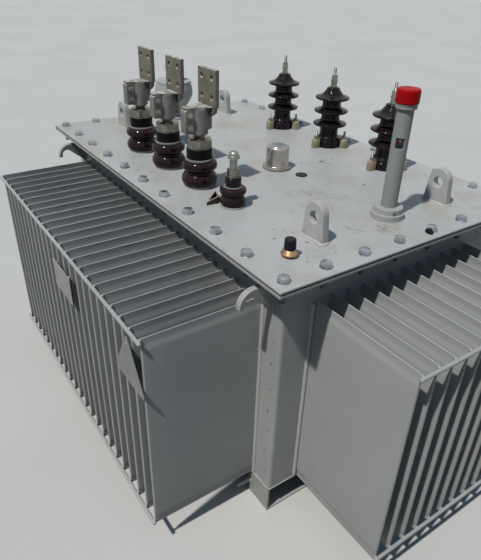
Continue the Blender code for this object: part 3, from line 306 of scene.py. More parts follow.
def soft_finish(name, colour, worn, low, high, dust=0.3, shine=0.3):
    """A non-metal with cloudy wear and a fine grain."""
    finish = new_finish(name, specular_ior_level=shine)
    tone = blend(finish, step_between(finish, mottle(finish, 12, 5), 0.4, 0.75), colour, worn)
    feed(finish, "Base Color", dusted(finish, tone, share=dust, size_mm=14))
    wear = mottle(finish, 8, 4, shift=(3, 1, 1))
    feed(finish, "Roughness", step_between(finish, wear, 0.3, 0.7, low, high))
    bump(finish, mottle(finish, 1.5, 2, shift=(1, 5, 1)), 0.05, 0.4)
    return finish


black_rubber = soft_finish("black_rubber", (0.018, 0.018, 0.02), (0.05, 0.05, 0.05), 0.5, 0.7)
neck_black = soft_finish("neck_black", (0.003, 0.003, 0.004), (0.008, 0.008, 0.009), 0.35, 0.55, 0.03, 0.1)
pale_rubber = soft_finish("pale_rubber", (0.36, 0.37, 0.36), (0.28, 0.29, 0.28), 0.45, 0.65)
ring_rubber = soft_finish("ring_rubber", (0.20, 0.215, 0.215), (0.14, 0.15, 0.15), 0.45, 0.65, 0.2)
black_plastic = soft_finish("black_plastic", (0.010, 0.010, 0.016), (0.020, 0.020, 0.028), 0.3, 0.5, 0.03,
    0.12)
red_plastic = soft_finish("red_plastic", (0.42, 0.003, 0.004), (0.35, 0.004, 0.005), 0.36, 0.50, 0.01, 0.1)
sight_glass = soft_finish("sight_glass", (0.055, 0.010, 0.008), (0.10, 0.022, 0.015), 0.12, 0.25, 0.1)
oil_dark = soft_finish("oil_in_glass", (0.010, 0.009, 0.030), (0.020, 0.014, 0.045), 0.12, 0.25, 0.05)
plate_metal = metal("plate_metal", (0.38, 0.38, 0.365), (0.30, 0.30, 0.29), 0.42, 0.60, 1.0, 0.02, 0.2, 0.4)
plate_paint = grey_paint("plate_paint", (0.27, 0.27, 0.255), (0.22, 0.215, 0.195), 0.3, 0.3)
skid_paint = grey_paint("skid_paint", (0.36, 0.36, 0.345), (0.30, 0.29, 0.265), 0.4, 0.4)
gauge_paint = grey_paint("gauge_paint", (0.30, 0.325, 0.31), (0.28, 0.29, 0.27), 0.3, 0.3)
# A paler grey for welds and the earthing tongue; on the outermost fins' root beads it is a painted
# highlight.
pale_paint_and_painted_highlight = grey_paint("pale_paint_and_painted_highlight", (0.49, 0.485, 0.465), (0.42, 0.41, 0.385), 0.2, 0.2)
print("finishes:", len(bpy.data.materials))

# %% [markdown]
# ## How a shape is written
# A shape is a pair: an array of points and a list of faces. It comes from a function of two
# parameters on a grid, such as an angle and a step along a profile. That keeps each formula visible,
# and whole arrays are worked out at once. A piece is one or more shapes put into one mesh.

# %% Helpers for shapes


def grid_faces(rows, columns, close_rows=False, close_columns=True):
    """The quads of a grid of points that is stored row by row."""
    row = np.arange(rows if close_rows else rows - 1)
    column = np.arange(columns if close_columns else columns - 1)
    i, j = (a.ravel() for a in np.meshgrid(row, column, indexing="ij"))
    down, across = (i + 1) % rows, (j + 1) % columns
    corners = (i * columns + j, i * columns + across, down * columns + across, down * columns + j)
    return np.stack(corners, 1).tolist()


def tube(rings):
    """Closed rings of equal length, joined in order, with a flat face on the first and on the last."""
    rings = np.asarray(rings)
    count, size = rings.shape[:2]
    faces = grid_faces(count, size)
    faces += [list(range(size))[::-1], list(range((count - 1) * size, count * size))]
    return rings.reshape(-1, 3), faces


def join(*shapes):
    points, faces, start = [], [], 0
    for shape_points, shape_faces in shapes:
        points.append(shape_points)
        faces += [[index + start for index in face] for face in shape_faces]
        start += len(shape_points)
    return np.vstack(points), faces


def shifted(shape, offset):
    return shape[0] + np.asarray(offset), shape[1]


def turned(shape, degrees, axis="Z"):
    matrix = np.array(Matrix.Rotation(radians(degrees), 3, axis))
    return shape[0] @ matrix.T, shape[1]


def repeated(shape, places):
    """The shape once at each place, as one array."""
    places = np.asarray(places, float)
    points = (places[:, None, :] + shape[0][None]).reshape(-1, 3)
    faces = [[index + n * len(shape[0]) for index in face] for n in range(len(places)) for face in shape[1]]
    return points, faces


def volume(points, faces):
    """Six times the signed volume.

    For each triangle the first corner is dotted with the other two crossed, and all are added up.
    """
    fans = [(face[0], face[k], face[k + 1]) for face in faces for k in range(1, len(face) - 1)]
    a, b, c = (points[np.array(fans)[:, k]] for k in range(3))
    return float((a * np.cross(b, c)).sum())


def placed(parts, place):
    """(shape, finish) pairs, moved to their place."""
    return [(shifted(shape, place), finish) for shape, finish in parts]


def outward(shape):
    """Turns all faces round where the signed volume says that they face inwards."""
    points, faces = shape
    inside_out = volume(points - points.mean(0), faces) < 0
    return (points, [face[::-1] for face in faces]) if inside_out else shape


def make_piece(name, parts, sharp=35, stands_for=()):
    """Puts (shape, finish) pairs into one mesh that rides on the tank and stands for these nodes."""
    parts = [(outward(shape), finish) for shape, finish in parts]
    points, faces = join(*(shape for shape, finish in parts))
    finishes = list(dict.fromkeys(finish for shape, finish in parts))
    index = np.concatenate([np.full(len(shape[1]), finishes.index(finish)) for shape, finish in parts])
    mesh = bpy.data.meshes.new(name)
    mesh.from_pydata(points.tolist(), [], faces)
    for finish in finishes:
        mesh.materials.append(finish)
    mesh.polygons.foreach_set("material_index", index.astype(np.int32))
    mesh.shade_smooth()
    mesh.set_sharp_from_angle(angle=radians(sharp))
    obj = bpy.data.objects.new(name, mesh)
    bpy.context.scene.collection.objects.link(obj)
    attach(obj, "root")
    if stands_for:
        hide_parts(*stands_for)
    return obj


# %% Helpers for outlines and profiles


def softened(points, reach, steps=5, closed=True):
    """Each corner gives way to a parabola that starts and ends at this distance from it.

    Between the two ends a point is (1-s)^2 start + 2s(1-s) corner + s^2 end.
    """
    points = np.asarray(points, float)
    before, after = np.roll(points, 1, 0) - points, np.roll(points, -1, 0) - points
    long_before, long_after = np.linalg.norm(before, axis=1), np.linalg.norm(after, axis=1)
    limit = 0.45 * np.minimum(long_before, long_after)
    cut = np.minimum(np.broadcast_to(reach, len(points)), limit)[:, None]
    start = points + before / long_before[:, None] * cut
    end = points + after / long_after[:, None] * cut
    s = np.linspace(0, 1, steps)[None, :, None]
    curves = (1 - s) ** 2 * start[:, None] + 2 * s * (1 - s) * points[:, None] + s**2 * end[:, None]
    if closed:
        return curves.reshape(-1, points.shape[1])
    inner = curves[1:-1].reshape(-1, points.shape[1])
    return np.vstack([points[:1], inner, points[-1:]])


def circle(radius, sides=32, middle=(0, 0)):
    angle = np.arange(sides) * 2 * pi / sides
    return np.stack([middle[0] + radius * np.cos(angle), middle[1] + radius * np.sin(angle)], 1)


def arc(middle, radius, start, end, steps):
    """Points on a circle from one angle to another, in degrees."""
    angle = np.radians(np.linspace(start, end, steps))
    return np.stack([middle[0] + radius * np.cos(angle), middle[1] + radius * np.sin(angle)], 1)


def lathe(profile, sides=48):
    """A profile of (radius, height) points turned about the vertical axis."""
    profile = np.asarray(profile, float)
    profile[:, 0] = np.maximum(profile[:, 0], 1e-5)
    ring = circle(1.0, sides)
    rings = np.empty((len(profile), sides, 3))
    rings[:, :, :2] = profile[:, None, :1] * ring[None]
    rings[:, :, 2] = profile[:, None, 1]
    return tube(rings)


def inset(outline, distance):
    """Moves each point of an anticlockwise outline inwards, square to the line between its neighbours."""
    along = np.roll(outline, -1, 0) - np.roll(outline, 1, 0)
    along /= np.linalg.norm(along, axis=1)[:, None]
    return outline + distance * np.stack([-along[:, 1], along[:, 0]], 1)


def slab(outline, low, high, edge=0.001, steps=4):
    """An outline drawn up from low to high, with a quarter circle of this radius along both rims.

    One more ring inside each rim keeps the flat faces flat in the light.
    """
    outline = np.asarray(outline, float)
    area = (outline[:, 0] * np.roll(outline[:, 1], -1) - np.roll(outline[:, 0], -1) * outline[:, 1]).sum()
    outline = outline if area > 0 else outline[::-1]
    swing = np.linspace(0, pi / 2, steps)
    inward = edge * np.concatenate([[1.3], 1 - np.sin(swing), 1 - np.cos(swing), [1.3]])
    height = np.concatenate([[low], low + edge * (1 - np.cos(swing)), high - edge * (1 - np.sin(swing)),
        [high]])
    rings = [np.column_stack([inset(outline, d), np.full(len(outline), h)]) for d, h in zip(inward, height)]
    return tube(rings)


def stood(shape, order):
    """Renames the axes: order (0, 2, 1) stands a flat shape up with its thickness along Y."""
    return shape[0][:, order], shape[1]


def sweep(path, radius, sides=12):
    """A round bar along a path of points; radius may be one number or one for each point."""
    path = np.asarray(path, float)
    ahead = np.gradient(path, axis=0)
    ahead /= np.linalg.norm(ahead, axis=1)[:, None]
    helper = np.where(np.abs(ahead[:, 2:]) > 0.9, [[1.0, 0, 0]], [[0, 0, 1.0]])
    side = np.cross(ahead, helper)
    side /= np.linalg.norm(side, axis=1)[:, None]
    up = np.cross(side, ahead)
    ring = circle(1.0, sides)
    radius = np.broadcast_to(radius, len(path))[:, None, None]
    rings = path[:, None] + radius * (ring[None, :, :1] * side[:, None] + ring[None, :, 1:] * up[:, None])
    return tube(rings)


print("shape helpers ready")

# %% [markdown]
# ## The finned walls
# Each wall is one long sheet, folded out and back for every fin. At the top and bottom the fold is
# pressed shut and welded, so a fin tapers from 9 mm to 3 mm there. A fin could be a box with a
# bevel, but the pressed ends are what makes it look real. So the wall is one grid: its columns
# follow the folded path, its rows go up, and the half width of the fins is a function of height.

# %% Sizes of the tank and its fins
TANK_X, TANK_Y = 0.629, 0.374
PITCH, DEPTH = 0.050, 0.310
HALF_FIN, HALF_SEAM = 0.0045, 0.0015
SEAM_HEIGHT, TAPER = 0.012, 0.022
WALL_LOW, FIN_LOW, FIN_HIGH, WALL_HIGH = 0.0903, 0.093, 0.692, 0.7837
SHEET, CORNER = 0.004, 0.011
SEAM_X = 0.606


def half_width(height):
    """Half a fin's width: the pressed seam at both ends, a smooth swell over the taper, then full."""
    from_end = np.minimum(height - FIN_LOW, FIN_HIGH - height)
    t = np.clip((from_end - SEAM_HEIGHT) / TAPER, 0, 1)
    return HALF_SEAM + (HALF_FIN - HALF_SEAM) * t * t * (3 - 2 * t)


def fin_levels():
    """The heights of the rows, and for each whether the fins stand out there."""
    taper = np.linspace(0, TAPER, 6)
    low = FIN_LOW + SEAM_HEIGHT + taper
    high = FIN_HIGH - SEAM_HEIGHT - taper[::-1]
    middle = np.linspace(low[-1], high[0], 6)[1:-1]
    heights = np.concatenate([[WALL_LOW, FIN_LOW, FIN_LOW], low, middle, high,
        [FIN_HIGH, FIN_HIGH, WALL_HIGH]])
    stands_out = np.ones(len(heights))
    stands_out[[0, 1, -2, -1]] = 0
    return heights, stands_out


# %% The folded path of a wall


def fin_columns():
    """One fin's columns: side -1 to +1, how far out as a share, and the fold's angle at the tip."""
    out = np.array([0, 0.004, 0.25, 0.5, 0.75, 1.0])
    fold = np.radians(np.linspace(180, 0, 9))[1:-1]
    side = np.concatenate([-np.ones(6), np.cos(fold), np.ones(6)])
    share = np.concatenate([out, np.ones(7), out[::-1]])
    lift = np.concatenate([np.zeros(6), np.sin(fold), np.zeros(6)])
    return side, share, lift


def wall_sheet(half_length, fins, seed, plain=()):
    """The outer face of a wall as (along, out, height), rows by columns.

    along = fin middle + side x (half width - fold radius) + cos(fold) x fold radius, and
    out = share x (depth - fold radius) + sin(fold) x fold radius. Each fin's sheet is a little out
    of true: it leans by under a millimetre halfway up.
    """
    heights, stands_out = fin_levels()
    side, share, lift = fin_columns()
    spread = np.linspace(-1, 1, len(side))
    middles = (np.arange(fins) - (fins - 1) / 2) * PITCH
    lean = np.random.default_rng(seed).normal(0, 0.0007, fins)
    h, z, on = half_width(heights)[:, None, None], heights[:, None, None], stands_out[:, None, None]
    r = np.minimum(h, 0.0035)
    bow = np.sin(pi * np.clip((z - FIN_LOW) / (FIN_HIGH - FIN_LOW), 0, 1)) * lean[None, :, None] * share
    sign = np.sign(np.round(side, 6))
    folded = sign * (h - r) + np.where(lift > 0, side, sign) * r + bow
    along = middles[None, :, None] + on * folded + (1 - on) * spread * h
    out = np.broadcast_to(on * (share * (DEPTH - r) + lift * r), along.shape)
    fins_along, fins_out = along.reshape(len(heights), -1), out.reshape(len(heights), -1)
    plain = np.asarray(plain if len(plain) else [half_length])
    left = np.broadcast_to(-plain[::-1], (len(heights), len(plain)))
    right = np.broadcast_to(plain, (len(heights), len(plain)))
    along = np.hstack([left, fins_along, right])
    out = np.hstack([left * 0, fins_out, right * 0])
    return np.dstack([along, out, np.broadcast_to(heights[:, None], along.shape)])


def bent(points, half_length):
    """Bends a flat wall round the tank's corners.

    Past half_length - CORNER the way along becomes an angle; past a quarter turn it runs straight.
    """
    along, out = points[..., 0], points[..., 1]
    start = half_length - CORNER
    past = np.maximum(np.abs(along) - start, 0)
    angle = np.minimum(past / CORNER, pi / 2)
    straight = np.maximum(past - CORNER * pi / 2, 0)
    new_along = np.minimum(np.abs(along), start) + (CORNER + out) * np.sin(angle)
    new_out = (CORNER + out) * np.cos(angle) - CORNER - straight
    return np.dstack([np.sign(along) * np.where(past > 0, new_along, np.abs(along)),
        np.where(past > 0, new_out, out), points[..., 2]])


def closed_sheet(outer, half_length, wraps):
    """Gives the sheet a back, a wall thickness behind its root, so that each column is a closed loop."""
    back = outer.copy()[[-1, 0]]
    back[..., 1] = -SHEET
    loops = np.concatenate([outer, back])
    if wraps:
        loops = bent(loops, half_length)
    rows, columns = loops.shape[:2]
    faces = grid_faces(rows, columns, close_rows=True, close_columns=False)
    ends = [np.arange(rows) * columns, (np.arange(rows) * columns + columns - 1)[::-1]]
    return loops.reshape(-1, 3), faces + [list(map(int, end)) for end in ends]


# %% Make the four walls
SIDES = {
    "front": (SEAM_X, 23, False, (0, -TANK_Y), 180),
    "rear": (SEAM_X, 23, False, (0, TANK_Y), 0),
    "right": (TANK_Y, 12, True, (TANK_X, 0), -90),
    "left": (TANK_Y, 12, True, (-TANK_X, 0), 90),
}


def on_side(shape, side):
    """Takes a shape given as (along, out, height) to its side of the tank."""
    middle, angle = SIDES[side][3:]
    return shifted(turned(shape, angle), (*middle, 0))


for seed, (side, (half, fins, wraps, middle, angle)) in enumerate(SIDES.items()):
    corner = half - CORNER + CORNER * np.linspace(0, pi / 2, 9)
    plain = np.append(corner, corner[-1] + TANK_X - CORNER - SEAM_X) if wraps else [half]
    sheet = closed_sheet(wall_sheet(half, fins, seed, plain), half, wraps)
    make_piece(f"{side}_fins", [(on_side(sheet, side), tank_paint)], 50,
        [f"{side}_wall"])
    print(side, "fins:", fins, "folds,", len(sheet[1]), "faces")

# %% [markdown]
# ## Rods and welds on the fins
# A round rod runs across all fin tips, near the top and the bottom, and keeps them in line. It is
# welded to each tip, and the welds show as small lumps. The rods are plain bars swept along a line.
# One lump is a squashed ball on a grid, repeated at every tip as one array.

# %% Rods and their welds
ROD, ROD_OUT = 0.005, 0.3149


def bead(length, width, height, rows=6, sides=10):
    """A squashed ball: radius sin(t) at height cos(t), stretched to the bead's three sizes."""
    t = np.linspace(0.05, pi - 0.05, rows)
    points, faces = lathe(np.stack([np.sin(t), np.cos(t)], 1), sides)
    return points * np.array([length, width, height]) / 2, faces


for side, (half, fins, wraps, middle, angle) in SIDES.items():
    half_rod = (fins - 1) / 2 * PITCH + 0.0105
    tips = (np.arange(fins) - (fins - 1) / 2) * PITCH
    along = np.concatenate([[-1, -0.9985, -0.997], np.linspace(-0.99, 0.99, 30),
        [0.997, 0.9985, 1]]) * half_rod
    thick = np.concatenate([[0.5, 0.85, 1], np.ones(30), [1, 0.85, 0.5]]) * ROD
    parts = []
    for height in (FIN_HIGH - 0.008, FIN_LOW + 0.008):
        wave = 0.0006 * np.sin(along * 17 + height * 40)
        parts.append(sweep(np.stack([along, ROD_OUT + 0 * along, height + wave], 1), thick))
        lumps = [(tip, ROD_OUT - 0.0042, height + 0.0045 * up) for tip in tips for up in (-1, 1)]
        parts.append(repeated(bead(0.0085, 0.009, 0.0055), lumps))
    make_piece(f"{side}_fin_rods", [(on_side(join(*parts), side), tank_paint)], 60)
print("rods: 8, welds:", 4 * (23 + 12) * 2)

# %% [markdown]
# ## Welds, nuts, bolts and threads
# These repeat all over the machine, so each is one formula that is used again. A weld bead is a bar
# whose thickness ripples like laid-down coins. A nut is a prism whose corners fall away outside a
# circle, as if turned on a lathe. A thread is a bar whose radius depends on angle and height
# together, which makes a true helix.

# %% Helpers for welds and bolts


def weld(start, end, radius=0.0025, ripple=0.004, seed=0, sides=8):
    """A bead from start to end: its radius goes up and down by an eighth once per ripple, and wanders."""
    start, end = np.asarray(start, float), np.asarray(end, float)
    length = np.linalg.norm(end - start)
    rows = max(8, int(length / ripple * 3))
    s = np.linspace(0, 1, rows)
    rng = np.random.default_rng(seed)
    wander = np.convolve(rng.normal(0, 1, (rows + 8)), np.ones(9) / 3, "valid")
    thick = radius * (1 + 0.13 * np.cos(2 * pi * s * length / ripple) + 0.10 * wander)
    thick *= np.clip(np.minimum(s, 1 - s) * length / radius, 0.02, 1) ** 0.5
    path = start + (end - start) * s[:, None] + rng.normal(0, 0.07 * radius, (rows, 1))
    return sweep(path, thick, sides)


def hexagon(across, height, low=0.0, sides=24, top_rim=0.485):
    """A nut or bolt head standing on low.

    Its radius is half the width across flats over cos(a), a measured from the middle of the nearest
    flat. Outside a circle, top_rim x across in radius at the top, both ends fall away at 30 degrees.
    """
    angle = np.arange(sides) * 2 * pi / sides
    near = (angle + pi / 6) % (pi / 3) - pi / 6
    radius = across / 2 / np.cos(near)
    foot, top = 0.485 * across, top_rim * across
    unit = circle(1.0, sides)
    rings = []
    for r, z in ((foot, 0), (radius, (radius - foot) * 0.577), (radius, height - (radius - top) * 0.577),
            (top, height)):
        ring = unit * np.broadcast_to(r, sides)[:, None]
        rings.append(np.column_stack([ring, low + np.broadcast_to(z, sides)]))
    return tube(rings)


def disc(radius, thickness, low=0.0, edge=0.0005, sides=32):
    """A washer or flange: a round slab with rounded rims."""
    return slab(circle(radius, sides), low, low + thickness, edge, 3)


def thread(radius, low, high, pitch, sides=20):
    """A threaded bar: radius less a zigzag of (height / pitch - angle / full turn), with a bevelled end."""
    rows = int((high - low) / pitch * 4) + 1
    z = np.linspace(low, high, rows)[:, None]
    turn = (np.arange(sides) / sides)[None]
    phase = (z / pitch - turn) % 1.0
    r = radius - 0.55 * pitch * (1 - np.abs(2 * phase - 1))
    r = np.minimum(r, radius - 0.7 * pitch + 1.2 * np.minimum(high - z, pitch))
    unit = circle(1.0, sides)
    return tube(np.dstack([r * unit[:, 0], r * unit[:, 1], np.broadcast_to(z, r.shape)]))


def holed_plate(outline, middle, radius, low, high, edge=0.001, inward=None, steps=4):
    """A plate with one round hole, as a ring that closes on itself.

    Each point of the hole's rim lies on the line from the hole's middle to a point of the outline.
    inward says how each outline point moves for a rounded rim; without it all sides are rounded.
    """
    outline = np.asarray(outline, float)
    if inward is None:
        inward = inset(outline, 1.0) - outline
    ray = outline - middle
    ray /= np.linalg.norm(ray, axis=1)[:, None]
    swing = np.linspace(0, pi / 2, steps)
    back = edge * np.concatenate([1 - np.sin(swing), 1 - np.cos(swing)])
    height = np.concatenate([low + edge * (1 - np.cos(swing)), high - edge * (1 - np.sin(swing))])
    rim = [np.column_stack([outline + inward * d, np.full(len(outline), h)]) for d, h in zip(back, height)]
    hole = [np.column_stack([middle + ray * (radius + d), np.full(len(outline), h)])
        for d, h in zip(back, height)]
    above, below = [[ring + share * (other - ring) for share in (0.08, 0.9)]
        for ring, other in ((rim[-1], hole[-1]), (hole[0], rim[0]))]
    rings = [*rim, *above, *hole[::-1], *below]
    return np.concatenate(rings), grid_faces(len(rings), len(outline), close_rows=True)


def dense(outline, spacing=0.003):
    """Adds points along the sides of an outline, at most this far apart."""
    outline = np.asarray(outline, float)
    points = []
    for start, end in zip(outline, np.roll(outline, -1, 0)):
        count = max(1, int(np.ceil(np.linalg.norm(end - start) / spacing)))
        points.append(start + (end - start) * (np.arange(count) / count)[:, None])
    return np.vstack(points)


# %% [markdown]
# ## Hooks and corner welds on the tank
# Four lashing hooks are cut from 16 mm plate: a quarter circle over the top, a short tip, and a round
# throat that runs into a slanting brace. The outline is written as those arcs. Each hook is welded
# down both sides, and a bead closes every upright joint between a long wall and an end wall. Weld
# spots with burnt edges run down beside it, and the outermost fins have a thick bead at their roots,
# painted paler than the wall as a painted highlight along the root.

# %% Lashing hooks
HOOK_TOP, HOOK_X, HOOK_HALF = 0.754, 0.590, 0.008


def hook_outline():
    """(out, height): top line, outer arc, tip, throat arc and the brace back to the wall."""
    outer = arc((0.056, -0.040), 0.040, 90, 0, 13)
    throat = arc((0.068, -0.036), 0.017, 0, 130, 14)
    last = throat[-1]
    root = last[1] + (last[0] + 0.002) / tan(radians(130))
    points = np.vstack([[[-0.002, 0]], outer, [[0.096, -0.044], [0.085, -0.044]], throat, [[-0.002, root]]])
    return points + [0, HOOK_TOP], root + HOOK_TOP


outline, hook_root = hook_outline()
for side in ("front", "rear"):
    parts = []
    for middle in (-HOOK_X, HOOK_X):
        flat = slab(outline, middle - HOOK_HALF, middle + HOOK_HALF, 0.0012)
        parts.append(stood(flat, (2, 0, 1)))
        for edge in (-0.0085, 0.0085):
            ends = [(middle + edge, 0.001, hook_root), (middle + edge, 0.001, HOOK_TOP)]
            parts.append(weld(*ends, 0.003, seed=int(1e4 * (middle + edge)) % 97))
    hooks = on_side(join(*[outward(part) for part in parts]), side)
    make_piece(f"{side}_hooks", [(hooks, tank_paint)], 40, [f"{side}_wall"])
print("hooks: 4, of", len(outline), "outline points each")

# %% Weld beads at the tank's corners
beads, spots, roots = [], [], []
for n, (x, y) in enumerate([(-SEAM_X, -TANK_Y), (SEAM_X, -TANK_Y), (SEAM_X, TANK_Y), (-SEAM_X, TANK_Y)]):
    across, out = np.sign(x), np.sign(y)
    beads.append(weld((x, y - 0.0015 * out, 0.0925), (x, y - 0.0015 * out, 0.7815), 0.0026, 0.03, n, 12))
    heights = np.arange(0.145, 0.70, 0.0745)
    places = [(x - across * 0.005 * (k % 2), y + 0.0003 * out, h + 0.004 * (k * 7 % 3))
        for k, h in enumerate(heights)]
    spots.append(repeated(bead(0.0055, 0.0016, 0.011), places))
    beside = HALF_FIN + 0.004
    for root in ((TANK_X + 0.0005, 5.5 * PITCH + beside), (11 * PITCH + beside, TANK_Y + 0.0005)):
        line = [(across * root[0], out * root[1], h) for h in np.linspace(0.100, 0.684, 12)]
        roots.append(sweep(line, 0.0058, 16))
burnt = soft_finish("burnt_weld", (0.15, 0.145, 0.135), (0.28, 0.275, 0.26), 0.5, 0.7)
make_piece("corner_welds", [(join(*beads), tank_paint)], 60)
make_piece("corner_weld_spots", [(join(*spots), burnt)], 60)
# The root beads are painted paler than the wall: a painted highlight along the fins' roots.
make_piece("outer_fin_root_beads", [(join(*roots), pale_paint_and_painted_highlight)], 60)
print("corner welds:", len(beads), "weld spots:", 4 * len(heights), "root beads:", len(roots))

# %% Welds along the pressed ends of the fins
for side, (half, fins, wraps, middle, angle) in SIDES.items():
    lines = []
    for n in range(fins):
        along = (n - (fins - 1) / 2) * PITCH
        for height in (FIN_LOW + 0.0004, FIN_HIGH - 0.0004):
            lines.append(weld((along, 0.001, height), (along, DEPTH - 0.003, height), 0.0015, 0.055, n, 6))
    make_piece(f"{side}_fin_welds", [(on_side(join(*lines), side), tank_paint)], 60)
print("fin welds:", 4 * (23 + 12))

# %% [markdown]
# ## Cover, lifting lugs and cover bolts
# The cover is one plate with a slightly rounded rim. A lifting lug is the outline of a foot and a
# round top joined by lines that touch the top circle, with a hole through it. 34 bolts hold the
# cover down: a washer and a head above, and a nut with a bolt's end under the flange. A black dab
# sticks to one head.

# %% Cover and lifting lugs
COVER_X, COVER_Y, COVER_TOP, COVER_LOW = 0.695, 0.440, 0.800, 0.7943
LUG_X, LUG_Y = 0.545, 0.222
LUG_THICK, LUG_HOLE, LUG_HOLE_HEIGHT = 0.020, 0.015, 0.057


def lug_outline():
    """(across, height): from the foot's corner a line touches the top circle, square to its radius."""
    half, centre, radius = 0.038, 0.064, 0.031
    reach = np.hypot(half, centre)
    start = np.degrees(np.arctan2(-centre, half) + pi / 2 - np.arctan2(radius, sqrt(reach**2 - radius**2)))
    top = arc((0, centre), radius, start, 180 - start, 41)
    return dense(np.vstack([[[-half, 0], [-half, -0.001], [half, -0.001], [half, 0]], top]), 0.004)


cover_outline = softened([(-COVER_X, -COVER_Y), (COVER_X, -COVER_Y), (COVER_X, COVER_Y),
    (-COVER_X, COVER_Y)], 0.003)
parts = [(slab(cover_outline, COVER_LOW, COVER_TOP, 0.0012), cover_paint)]
lug = holed_plate(lug_outline(), (0, LUG_HOLE_HEIGHT), LUG_HOLE, -LUG_THICK / 2, LUG_THICK / 2, 0.0016)
lug = stood(lug, (0, 2, 1))
for x in (-LUG_X, LUG_X):
    for y in (-LUG_Y, LUG_Y):
        parts.append((shifted(lug, (x, y, COVER_TOP)), cover_paint))
        for n, side in enumerate((-1, 1)):
            foot = y + side * 0.011
            bead_z = COVER_TOP + 0.0008
            parts.append((weld((x - 0.040, foot, bead_z), (x + 0.040, foot, bead_z), 0.0035, 0.005, n),
                pale_paint_and_painted_highlight))
            end = x + side * 0.039
            parts.append((weld((end, y - 0.011, bead_z), (end, y + 0.011, bead_z), 0.0035, 0.005, n + 5),
                pale_paint_and_painted_highlight))
make_piece("cover_and_lugs", parts, 40, ["cover_plate"])
print("cover and", 4, "lugs:", sum(len(shape[1]) for shape, finish in parts), "faces")

# %% Cover bolts
BOLT_X, BOLT_Y = 0.6625, 0.4075
WASHER = 0.0025  # its thickness
along = [(x, y) for x in np.linspace(-BOLT_X, BOLT_X, 11) for y in (-BOLT_Y, BOLT_Y)]
across = [(x, y) for x in (-BOLT_X, BOLT_X) for y in np.linspace(-BOLT_Y, BOLT_Y, 8)[1:-1]]
rng = np.random.default_rng(4)
above, below = [], []
for x, y in along + across:
    twist = rng.uniform(0, 60)
    above.append(shifted(disc(0.015, WASHER, COVER_TOP, 0.0006), (x, y, 0)))
    dome = lathe(softened([(0, 0.0108), (0.0092, 0.0106), (0.0112, 0.0095), (0, 0.009)], 0.001,
        closed=False), 24)
    head = join(hexagon(0.024, 0.010), dome)
    above.append(shifted(turned(head, twist), (x, y, COVER_TOP + WASHER)))
    under = join(disc(0.015, WASHER, 0.7815), hexagon(0.024, 0.012, 0.7695),
        thread(0.0078, 0.7485, 0.7700, 0.002, 16))
    below.append(shifted(turned(under, twist + 11), (x, y, 0)))
make_piece("cover_bolts", [(join(*above), zinc)])
dab = shifted(turned(bead(0.026, 0.018, 0.014, 12, 24), -20), (0.6665, 0.0440, COVER_TOP + 0.0015))
make_piece("dark_dab", [(dab, neck_black)])
# The nuts under the flange get the dark steel as painted shade.
make_piece("cover_nuts", [(join(*below), painted_shade_steel)])
print("cover bolts:", len(along + across))

# %% [markdown]
# ## Skids
# Each skid is a channel that opens to the outside, with plates over its ends. The channel is one
# bent outline drawn along the tank. It could be cut from a box, but a drawn outline keeps the
# rounded bends of rolled steel. The right skid carries a flat earthing tongue, welded on.

# %% Skids and earthing lug
SKID_WIDTH, SKID_HEIGHT, SKID_SHEET = 0.094, 0.090, 0.006


def channel():
    """(out, height) of the channel's bent sheet; out = 0 is its open side."""
    far, near = -SKID_WIDTH, -SKID_WIDTH + SKID_SHEET
    low, high = SKID_SHEET, SKID_HEIGHT - SKID_SHEET
    points = [(far, 0), (0, 0), (0, low), (near, low), (near, high), (0, high), (0, SKID_HEIGHT),
        (far, SKID_HEIGHT)]
    return softened(points, [0.006, 0.001, 0.001, 0.004, 0.004, 0.001, 0.001, 0.006], 5)


def skid():
    """The right skid: channel, two end plates, and beads where it meets the tank."""
    parts = [stood(slab(channel(), -TANK_Y + 0.0055, TANK_Y - 0.0055, 0.0005), (0, 2, 1))]
    plate = softened([(-SKID_WIDTH, 0), (0, 0), (0, SKID_HEIGHT), (-SKID_WIDTH, SKID_HEIGHT)], 0.0015, 4)
    for y in (-TANK_Y, TANK_Y - SKID_SHEET):
        parts.append(stood(slab(plate, y, y + SKID_SHEET, 0.0008), (0, 2, 1)))
    top = SKID_HEIGHT + 0.0005
    parts.append(weld((-SKID_WIDTH, -TANK_Y, top), (-0.002, -TANK_Y, top), 0.0032, 0.005, 3))
    parts.append(weld((-SKID_WIDTH, TANK_Y, top), (-0.002, TANK_Y, top), 0.0032, 0.005, 4))
    parts.append(weld((0, -TANK_Y + 0.003, top), (0, TANK_Y - 0.003, top), 0.0028, 0.005, 5))
    return shifted(join(*[outward(part) for part in parts]), (TANK_X, 0, 0))


tongue = [(-TANK_Y + 0.001, 0.038), (-TANK_Y + 0.001, 0.052)]
tongue = np.vstack([tongue, arc((-0.413, 0.045), 0.007, 90, 270, 13)])
bar = stood(slab(tongue, 0.538, 0.544, 0.0008), (2, 0, 1))
foot_weld = [weld((0.545, -TANK_Y - 0.001, 0.037), (0.545, -TANK_Y - 0.001, 0.053), 0.0035, seed=8)]
foot_weld.append(weld((0.537, -TANK_Y - 0.001, 0.0355), (0.5455, -TANK_Y - 0.001, 0.0355), 0.0042, seed=9))
right = [(skid(), skid_paint), (join(*[outward(shape) for shape in (bar, *foot_weld)]), pale_paint_and_painted_highlight)]
make_piece("right_skid_steel", right, 40, ["right_skid"])
make_piece("left_skid_steel", [(turned(skid(), 180), skid_paint)], 40, ["left_skid"])
print("skids: 2, earthing lug: 1")

# %% [markdown]
# ## Low-voltage bushings
# Glazed porcelain is thrown on a wheel, so a bushing is a profile turned about its axis. The
# corners of the profile are eased into parabolas, which gives the soft look of thick glaze. The
# pale seal, the pale ring and the black neck are turned pieces of their own.

